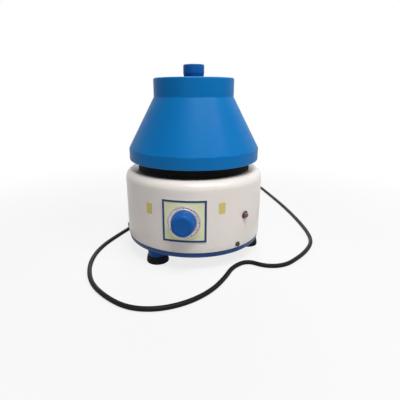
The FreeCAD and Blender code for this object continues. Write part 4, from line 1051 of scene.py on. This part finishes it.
@dataclass
class Lamp:
    """Pilot lamp with a dome lens in a turned bezel. The lens's heights are counted from the bezel's face."""

    angle: float = 50.0
    face: float = 101.45
    lens: Turning = Turning("lamp_dome", (
        (0, -5), (4.15, -5), (4.15, 0.6, 0.2), (3.75, 0.8, 0.2), (3.75, 3.4, 2.9), (0, 3.4)), 40, 8)

    def build(self, bench: Bench) -> None:
        """Make and place the lamp's pieces.

        Args:
            bench: Where the pieces are placed.
        """
        lens = self.lens.make(outward(self.angle, CONTROL_HEIGHT, self.face))
        bench.place(lens, Coat.LENS, "lamp_red", "lamp_lens")
        bench.dress(Coat.BEZEL, "lamp_bezel")
        bench.dress(Coat.ZINC, "lamp_nut")


@dataclass
class Inside:
    """Head, shaft and motor, which show when the lid is lifted or not at all."""

    def build(self, bench: Bench) -> None:
        """Dress the inner solids.

        Args:
            bench: Where the solids are.
        """
        bench.dress(Coat.HEAD, "rotor_head")
        bench.dress(Coat.STEEL, "head_washer", "head_nut", "motor_shaft", "lower_bearing_outer",
                    "lower_bearing_inner", "upper_bearing_outer", "upper_bearing_inner")
        bench.dress(Coat.CASTING, "lower_bracket", "upper_bracket", "bearing_cover")
        bench.dress(Coat.STACK, "stator_core", "armature_core")
        bench.dress(Coat.COPPER, "front_field_coil", "rear_field_coil", "armature_winding", "commutator")
        bench.dress(Coat.INNER_PLASTIC, "cooling_fan")
        bench.dress(Coat.RESIN, "brush_holders", "brush_caps")
        bench.dress(Coat.CARBON, "carbon_brushes")
        bench.dress(Coat.RUBBER, "mount_bushes")
        bench.dress(Coat.ZINC, "mount_bolts", "tie_bolts")


@dataclass
class Lead:
    """Mains lead: strain relief, the run on the table, the put-away coil with its tie, and the plug.

    Heights on the strain relief are counted from its seat. Outlines of the plug run along it and across it,
    and one side of its body is given.
    """

    diameter: float = 6.0
    length: float = 1779.0
    exit: Triple = (0.0, 118.55, 49.3)
    first_run: float = 26.0
    route: tuple[Triple, ...] = (
        (-8, 176, 40), (-34, 196, 25), (-66, 186, 11), (-84, 150, 3),
        (-94, 106, 3), (-104, 66, 3), (-114, 30, 3), (-125, -6, 3), (-134, -42, 3), (-135, -77, 3),
        (-127, -113, 3), (-109, -148, 3), (-82, -173, 3), (-50, -191, 3), (-17, -190, 3), (14, -174, 3),
        (39, -147, 3), (54, -115, 3), (63, -86, 3), (83, -66, 3), (107, -79, 3), (134, -73, 3),
        (155, -48, 3), (172, -22, 3), (185, 10, 3), (186, 46, 3), (181, 88, 3), (173, 134, 3),
        (163, 180, 3), (152, 224, 3), (140, 268, 3), (128, 308, 4), (117, 342, 4),
    )
    coil_radius: float = 37.0
    turn_gap: float = 0.6
    turns: float = 2.5
    climb_turns: float = 0.5
    tail: float = 22.0
    tail_bend: float = 0.6
    points_per_turn: int = 16
    gland_angle: float = 180.0
    gland_seat: float = 100.05
    gland_foot: Outline = ((0, -10), (5.6, -10), (5.6, 0), (8, 0, 0.3), (8, 3, 0.8), (6.4, 3, 0.3))
    gland_groove: Outline = ((0, -0.9), (-1, -0.5), (-1, 0.5), (0, 0.9))
    gland_end: Outline = ((4.3, 18.5, 0.5), (0, 18.5))
    groove_shares: tuple[float, ...] = (0.12, 0.31, 0.5, 0.69, 0.88)
    groove_rounding: float = 0.2
    tie_gap: float = 0.3
    tie_wall: float = 0.8
    tie_width: float = 6.0
    tie_roundings: Pair = (1.2, 2.0)
    plug_side: Outline = ((0, 6.5, 2), (14, 6.5, 8), (28, 17.5, 5), (44, 17.5, 2.5))
    plug_edge: float = 1.6
    ridge: Outline = ((-0.8, 17.2, 0.3), (0.8, 17.2, 0.3), (0.6, 17.5, 0.1), (-0.6, 17.5, 0.1))
    ridge_places: tuple[float, ...] = (28.0, 31.4, 34.8, 38.2)
    ridge_inset: float = 3.5
    pin: Turning = Turning("plug_contact_pins", ((0, -0.5), (2.4, -0.5), (2.4, 19, 1.6), (0, 19)), 32, 5)
    pin_spots: tuple[Pair, ...] = ((44, -9.5), (44, 9.5))

    def pitch(self) -> float:
        """Distance between neighbouring turns."""
        return self.diameter + self.turn_gap

    def coil_start(self) -> tuple[Vector, float]:
        """Find where the coil starts.

        Returns:
            Centre of the coil, and the angle at which the lead reaches it.
        """
        end, before = Vector(self.route[-1]), Vector(self.route[-2])
        heading = (end - before).normalized()
        slant = math.atan(self.pitch() / (FULL_TURN * self.coil_radius))
        angle = math.atan2(heading.y, heading.x) - FULL_TURN / 4 - slant
        return end + heading * self.diameter - polar(self.coil_radius, angle), angle

    def coil_point(self, done: float, swell: float = 1.0) -> Vector:
        """Point of the coil.

        Args:
            done: Turns from its start; it winds in, climbs a layer and winds out again.
            swell: Factor on the radius.

        Returns:
            The point.
        """
        centre, first = self.coil_start()
        inward = min(done, self.turns - done)
        climb = min(max((done - self.turns / 2) / self.climb_turns + 0.5, 0.0), 1.0)
        radius = (self.coil_radius - self.pitch() * inward) * swell
        return centre + polar(radius, first + FULL_TURN * done, self.pitch() * climb)

    def coil_end(self) -> tuple[Vector, Vector]:
        """Find where the lead ends.

        Returns:
            End of the lead, and its direction there.
        """
        angle = self.coil_start()[1] + FULL_TURN * self.turns
        onward = polar(FULL_TURN * self.coil_radius, angle + FULL_TURN / 4)
        direction = (onward + polar(self.pitch(), angle)).normalized()
        return self.coil_point(self.turns) + direction * self.tail, direction

    def points(self) -> list[Vector]:
        """List the control points of the lead's line.

        Returns:
            Points from the strain relief to the plug.
        """
        start = Vector(self.exit)
        line = [start, start + Vector((0, self.first_run, 0))] + [Vector(spot) for spot in self.route]
        steps = round(self.turns * self.points_per_turn)
        swell = 1 / math.cos(math.pi / self.points_per_turn)
        line += [self.coil_point((step + 0.5) / self.points_per_turn, swell) for step in range(steps)]
        end, direction = self.coil_end()
        return line + [end - direction * (self.tail * self.tail_bend), end]

    def curve(self) -> Item:
        """Make the lead as one smooth line with a round section.

        Returns:
            The lead.
        """
        data = bpy.data.curves.new("mains_lead", "CURVE")
        data.dimensions = "3D"
        data.bevel_depth = self.diameter / 2 * MM
        data.bevel_resolution = 5
        data.use_fill_caps = True
        data.resolution_u = 8
        spline = data.splines.new("NURBS")
        points = self.points()
        spline.points.add(len(points) - 1)
        for place, point in zip(spline.points, points):
            place.co = (*(point * MM), 1.0)
        spline.order_u = 3
        spline.use_endpoint_u = True
        return add_object("mains_lead", data)

    def gland(self) -> Item:
        """Make the strain relief: a flange and a grooved taper that the lead leaves.

        Returns:
            The strain relief.
        """
        corners = list(self.gland_foot)
        root, tip = Vector(self.gland_foot[-1][:2]), Vector(self.gland_end[0][:2])
        for size, level in (root.lerp(tip, share) for share in self.groove_shares):
            corners += [(size + deep, level + step, self.groove_rounding) for deep, step in self.gland_groove]
        solid = Turning("strain_relief", (*corners, *self.gland_end), 40, 3)
        return solid.make(outward(self.gland_angle, self.exit[2], self.gland_seat))

    def tie(self) -> Item:
        """Make the flat band that is closed round all the turns at one place.

        Returns:
            The tie.
        """
        shape = bmesh.new()
        centre, first = self.coil_start()
        half = self.diameter / 2 + self.tie_gap
        inner, outer = self.coil_radius - self.pitch() * self.turns / 2 - half, self.coil_radius + half
        low, high = centre.z - half, centre.z + self.pitch() + half
        spin = Matrix.Rotation(first + FULL_TURN / 4, 4, "Z")
        stand = Matrix.Translation((centre.x, centre.y, 0)) @ spin @ TIPPED
        loops = []
        for grow, rounding in zip((0.0, self.tie_wall), self.tie_roundings):
            left, right, bottom, top = inner - grow, outer + grow, low - grow, high + grow
            corners = [(left, bottom, rounding), (right, bottom, rounding), (right, top, rounding),
                       (left, top, rounding)]
            loops.append([[shape.verts.new(stand @ Vector((x, y, level))) for x, y in rounded(corners, 5)]
                          for level in (-self.tie_width / 2, self.tie_width / 2)])
        for pair in (*loops, *zip(*loops)):
            bridge(shape, *pair)
        return finish_mesh("lead_tie", shape)

    def plug_frame(self) -> Matrix:
        """Find where the plug lies.

        Returns:
            Frame with +X along the plug, away from the lead, at the height of the table.
        """
        end, direction = self.coil_end()
        turn = Matrix.Rotation(math.atan2(direction.y, direction.x), 4, "Z")
        return Matrix.Translation((end.x, end.y, 0)) @ turn

    def plug(self) -> Item:
        """Make the flat plug with rounded edges and grip ridges.

        Returns:
            The plug's body.
        """
        shape = bmesh.new()
        frame = self.plug_frame()
        thick = 2 * self.coil_end()[0].z
        outline = [(along, -across, rounding) for along, across, rounding in self.plug_side]
        add_prism(shape, rounded([*outline, *self.plug_side[::-1]], 5), 0, thick, frame)
        rims = [edge for edge in shape.edges if abs(edge.verts[0].co.z - edge.verts[1].co.z) < TINY]
        bmesh.ops.bevel(shape, geom=rims, offset=self.plug_edge, segments=4, profile=0.5, affect="EDGES")
        for place in self.ridge_places:
            for way in (-1, 1):
                ridge = [(place + along, way * across, rounding) for along, across, rounding in self.ridge]
                add_prism(shape, rounded(ridge, 2), self.ridge_inset, thick - self.ridge_inset, frame)
        return finish_mesh("plug_moulding", shape)

    def pins(self) -> Item:
        """Make the two round pins with rounded tips.

        Returns:
            Both pins as one object.
        """
        shape = bmesh.new()
        middle = self.coil_end()[0].z
        for spot in self.pin_spots:
            foot = Matrix.Translation((*spot, middle)) @ Matrix.Rotation(FULL_TURN / 4, 4, "Y")
            self.pin.add(shape, self.plug_frame() @ foot)
        return finish_mesh(self.pin.name, shape)

    def build(self, bench: Bench) -> None:
        """Make and place the lead's pieces.

        Args:
            bench: Where the pieces are placed.
        """
        lead = bench.place(self.curve(), Coat.SHEATH, "cord_grey", "power_cord", "cord_coil")
        bench.place(self.gland(), Coat.RUBBER, "black_rubber", "cord_gland")
        tie = bench.place(self.tie(), Coat.INNER_PLASTIC, "black_plastic", "cord_tie")
        plug = bench.place(self.plug(), Coat.PLUG, "black_plastic", "plug_body")
        pins = bench.place(self.pins(), Coat.BRASS, "pin_brass", "plug_pins")
        bench.dress(Coat.INNER_PLASTIC, "gland_nut")


# Studio


@dataclass
class Softbox:
    """Square lamp that points at the object."""

    name: str
    spot: Triple
    side: float
    power: float

    def build(self, target: Vector) -> None:
        """Hang the lamp and turn it to the target.

        Args:
            target: What it points at, in metres.
        """
        data = bpy.data.lights.new(self.name, "AREA")
        data.size = self.side
        data.energy = self.power
        item = add_object(self.name, data)
        item.location = self.spot
        item.rotation_euler = (target - Vector(self.spot)).to_track_quat("-Z", "Y").to_euler()


@dataclass
class Studio:
    """Camera, soft light, pale floor and white surroundings. Places are in metres."""

    camera_spot: Triple = (0.0607, -0.4946, 0.2276)
    pitch: float = 17.82
    yaw: float = 7.0
    sensor: float = 36.0
    lens: float = 30.48
    shift: float = 0.01575
    nearest: float = 0.01
    floor_half: float = 4.0
    floor_level: float = -0.0003
    floor_tones: Pair = (214, 222)
    floor_white: float = 0.8
    floor_fade: Pair = (0.25, 0.7)
    fill_light: float = 0.05
    target: Triple = (0.0, 0.0, 0.12)
    lamps: tuple[Softbox, ...] = (
        Softbox("key_softbox", (0.26, -0.55, 1.6), 0.7, 20.8),
        Softbox("front_softbox", (-0.1, -1.4, 0.3), 0.6, 0.8),
        Softbox("right_softbox", (0.8, -0.35, 1.1), 0.3, 4.2),
        Softbox("back_softbox", (-0.15, 1.2, 0.8), 0.7, 6.5),
    )

    def camera(self) -> None:
        """Stand the camera where the photograph was taken."""
        data = bpy.data.cameras.new("camera")
        data.sensor_width = self.sensor
        data.lens = self.lens
        data.shift_x = self.shift
        data.clip_start = self.nearest
        item = add_object("camera", data)
        item.location = self.camera_spot
        item.rotation_euler = (math.radians(90 - self.pitch), 0.0, math.radians(self.yaw))
        bpy.context.scene.camera = item

    @staticmethod
    def seen(graph: Graph) -> Value:
        """Tell rays that show a thing from rays that only carry its light.

        Args:
            graph: Tree that the nodes are added to.

        Returns:
            1 where a ray comes from the camera, a reflection or glass.
        """
        path = graph.node("ShaderNodeLightPath").outputs
        direct = graph.maths("MAXIMUM", path["Is Camera Ray"], path["Is Glossy Ray"])
        return graph.maths("MAXIMUM", direct, path["Is Transmission Ray"])

    def floor(self) -> None:
        """Lay the floor, which keeps the object's shadow and is otherwise nearly white."""
        shape = bmesh.new()
        bmesh.ops.create_grid(shape, x_segments=8, y_segments=8, size=self.floor_half / MM)
        item = finish_mesh("floor", shape)
        item.location.z = self.floor_level
        graph = Graph(bpy.data.materials.new("pale_floor"))
        across, along, _ = graph.axes()
        far = distance(across, along).smooth(*self.floor_fade)
        share = self.floor_white + far * (1 - self.floor_white)
        tones = [linear((tone, tone, tone)) for tone in self.floor_tones]
        paint = graph.node("ShaderNodeBsdfDiffuse", None, {"Color": graph.mix(graph.noise(3.0), *tones)})
        glow = graph.node("ShaderNodeEmission", None, {"Color": WHITE, "Strength": 1.0})
        blend = graph.node("ShaderNodeMixShader", None, {
            0: self.seen(graph) * share, 1: paint.outputs[0], 2: glow.outputs[0]})
        graph.node("ShaderNodeOutputMaterial", None, {"Surface": blend.outputs[0]})
        item.data.materials.append(graph.owner)

    def surroundings(self) -> None:
        """White all round for the camera and for reflections, and an even fill for the object."""
        graph = Graph(bpy.data.worlds.new("white_surroundings"))
        strength = self.seen(graph) * (1 - self.fill_light) + self.fill_light
        back = graph.node("ShaderNodeBackground", None, {"Color": WHITE, "Strength": strength})
        graph.node("ShaderNodeOutputWorld", None, {"Surface": back.outputs[0]})
        bpy.context.scene.world = graph.owner

    def build(self) -> None:
        """Set up the whole studio."""
        self.camera()
        self.floor()
        self.surroundings()
        for lamp in self.lamps:
            lamp.build(Vector(self.target))
        bpy.context.scene.view_settings.view_transform = "Standard"


def main() -> None:
    """Load the solids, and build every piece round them."""
    logging.basicConfig(level=logging.INFO, format="%(name)s: %(message)s")
    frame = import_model()
    bench = Bench(frame["nodes"])
    Studio().build()
    for assembly in (Lead(), Drum(), Feet(), Lid(), Control(), Lamp(), Inside()):
        assembly.build(bench)
        LOG.info("built %s", type(assembly).__name__)


if __name__ == "__main__":
    main()
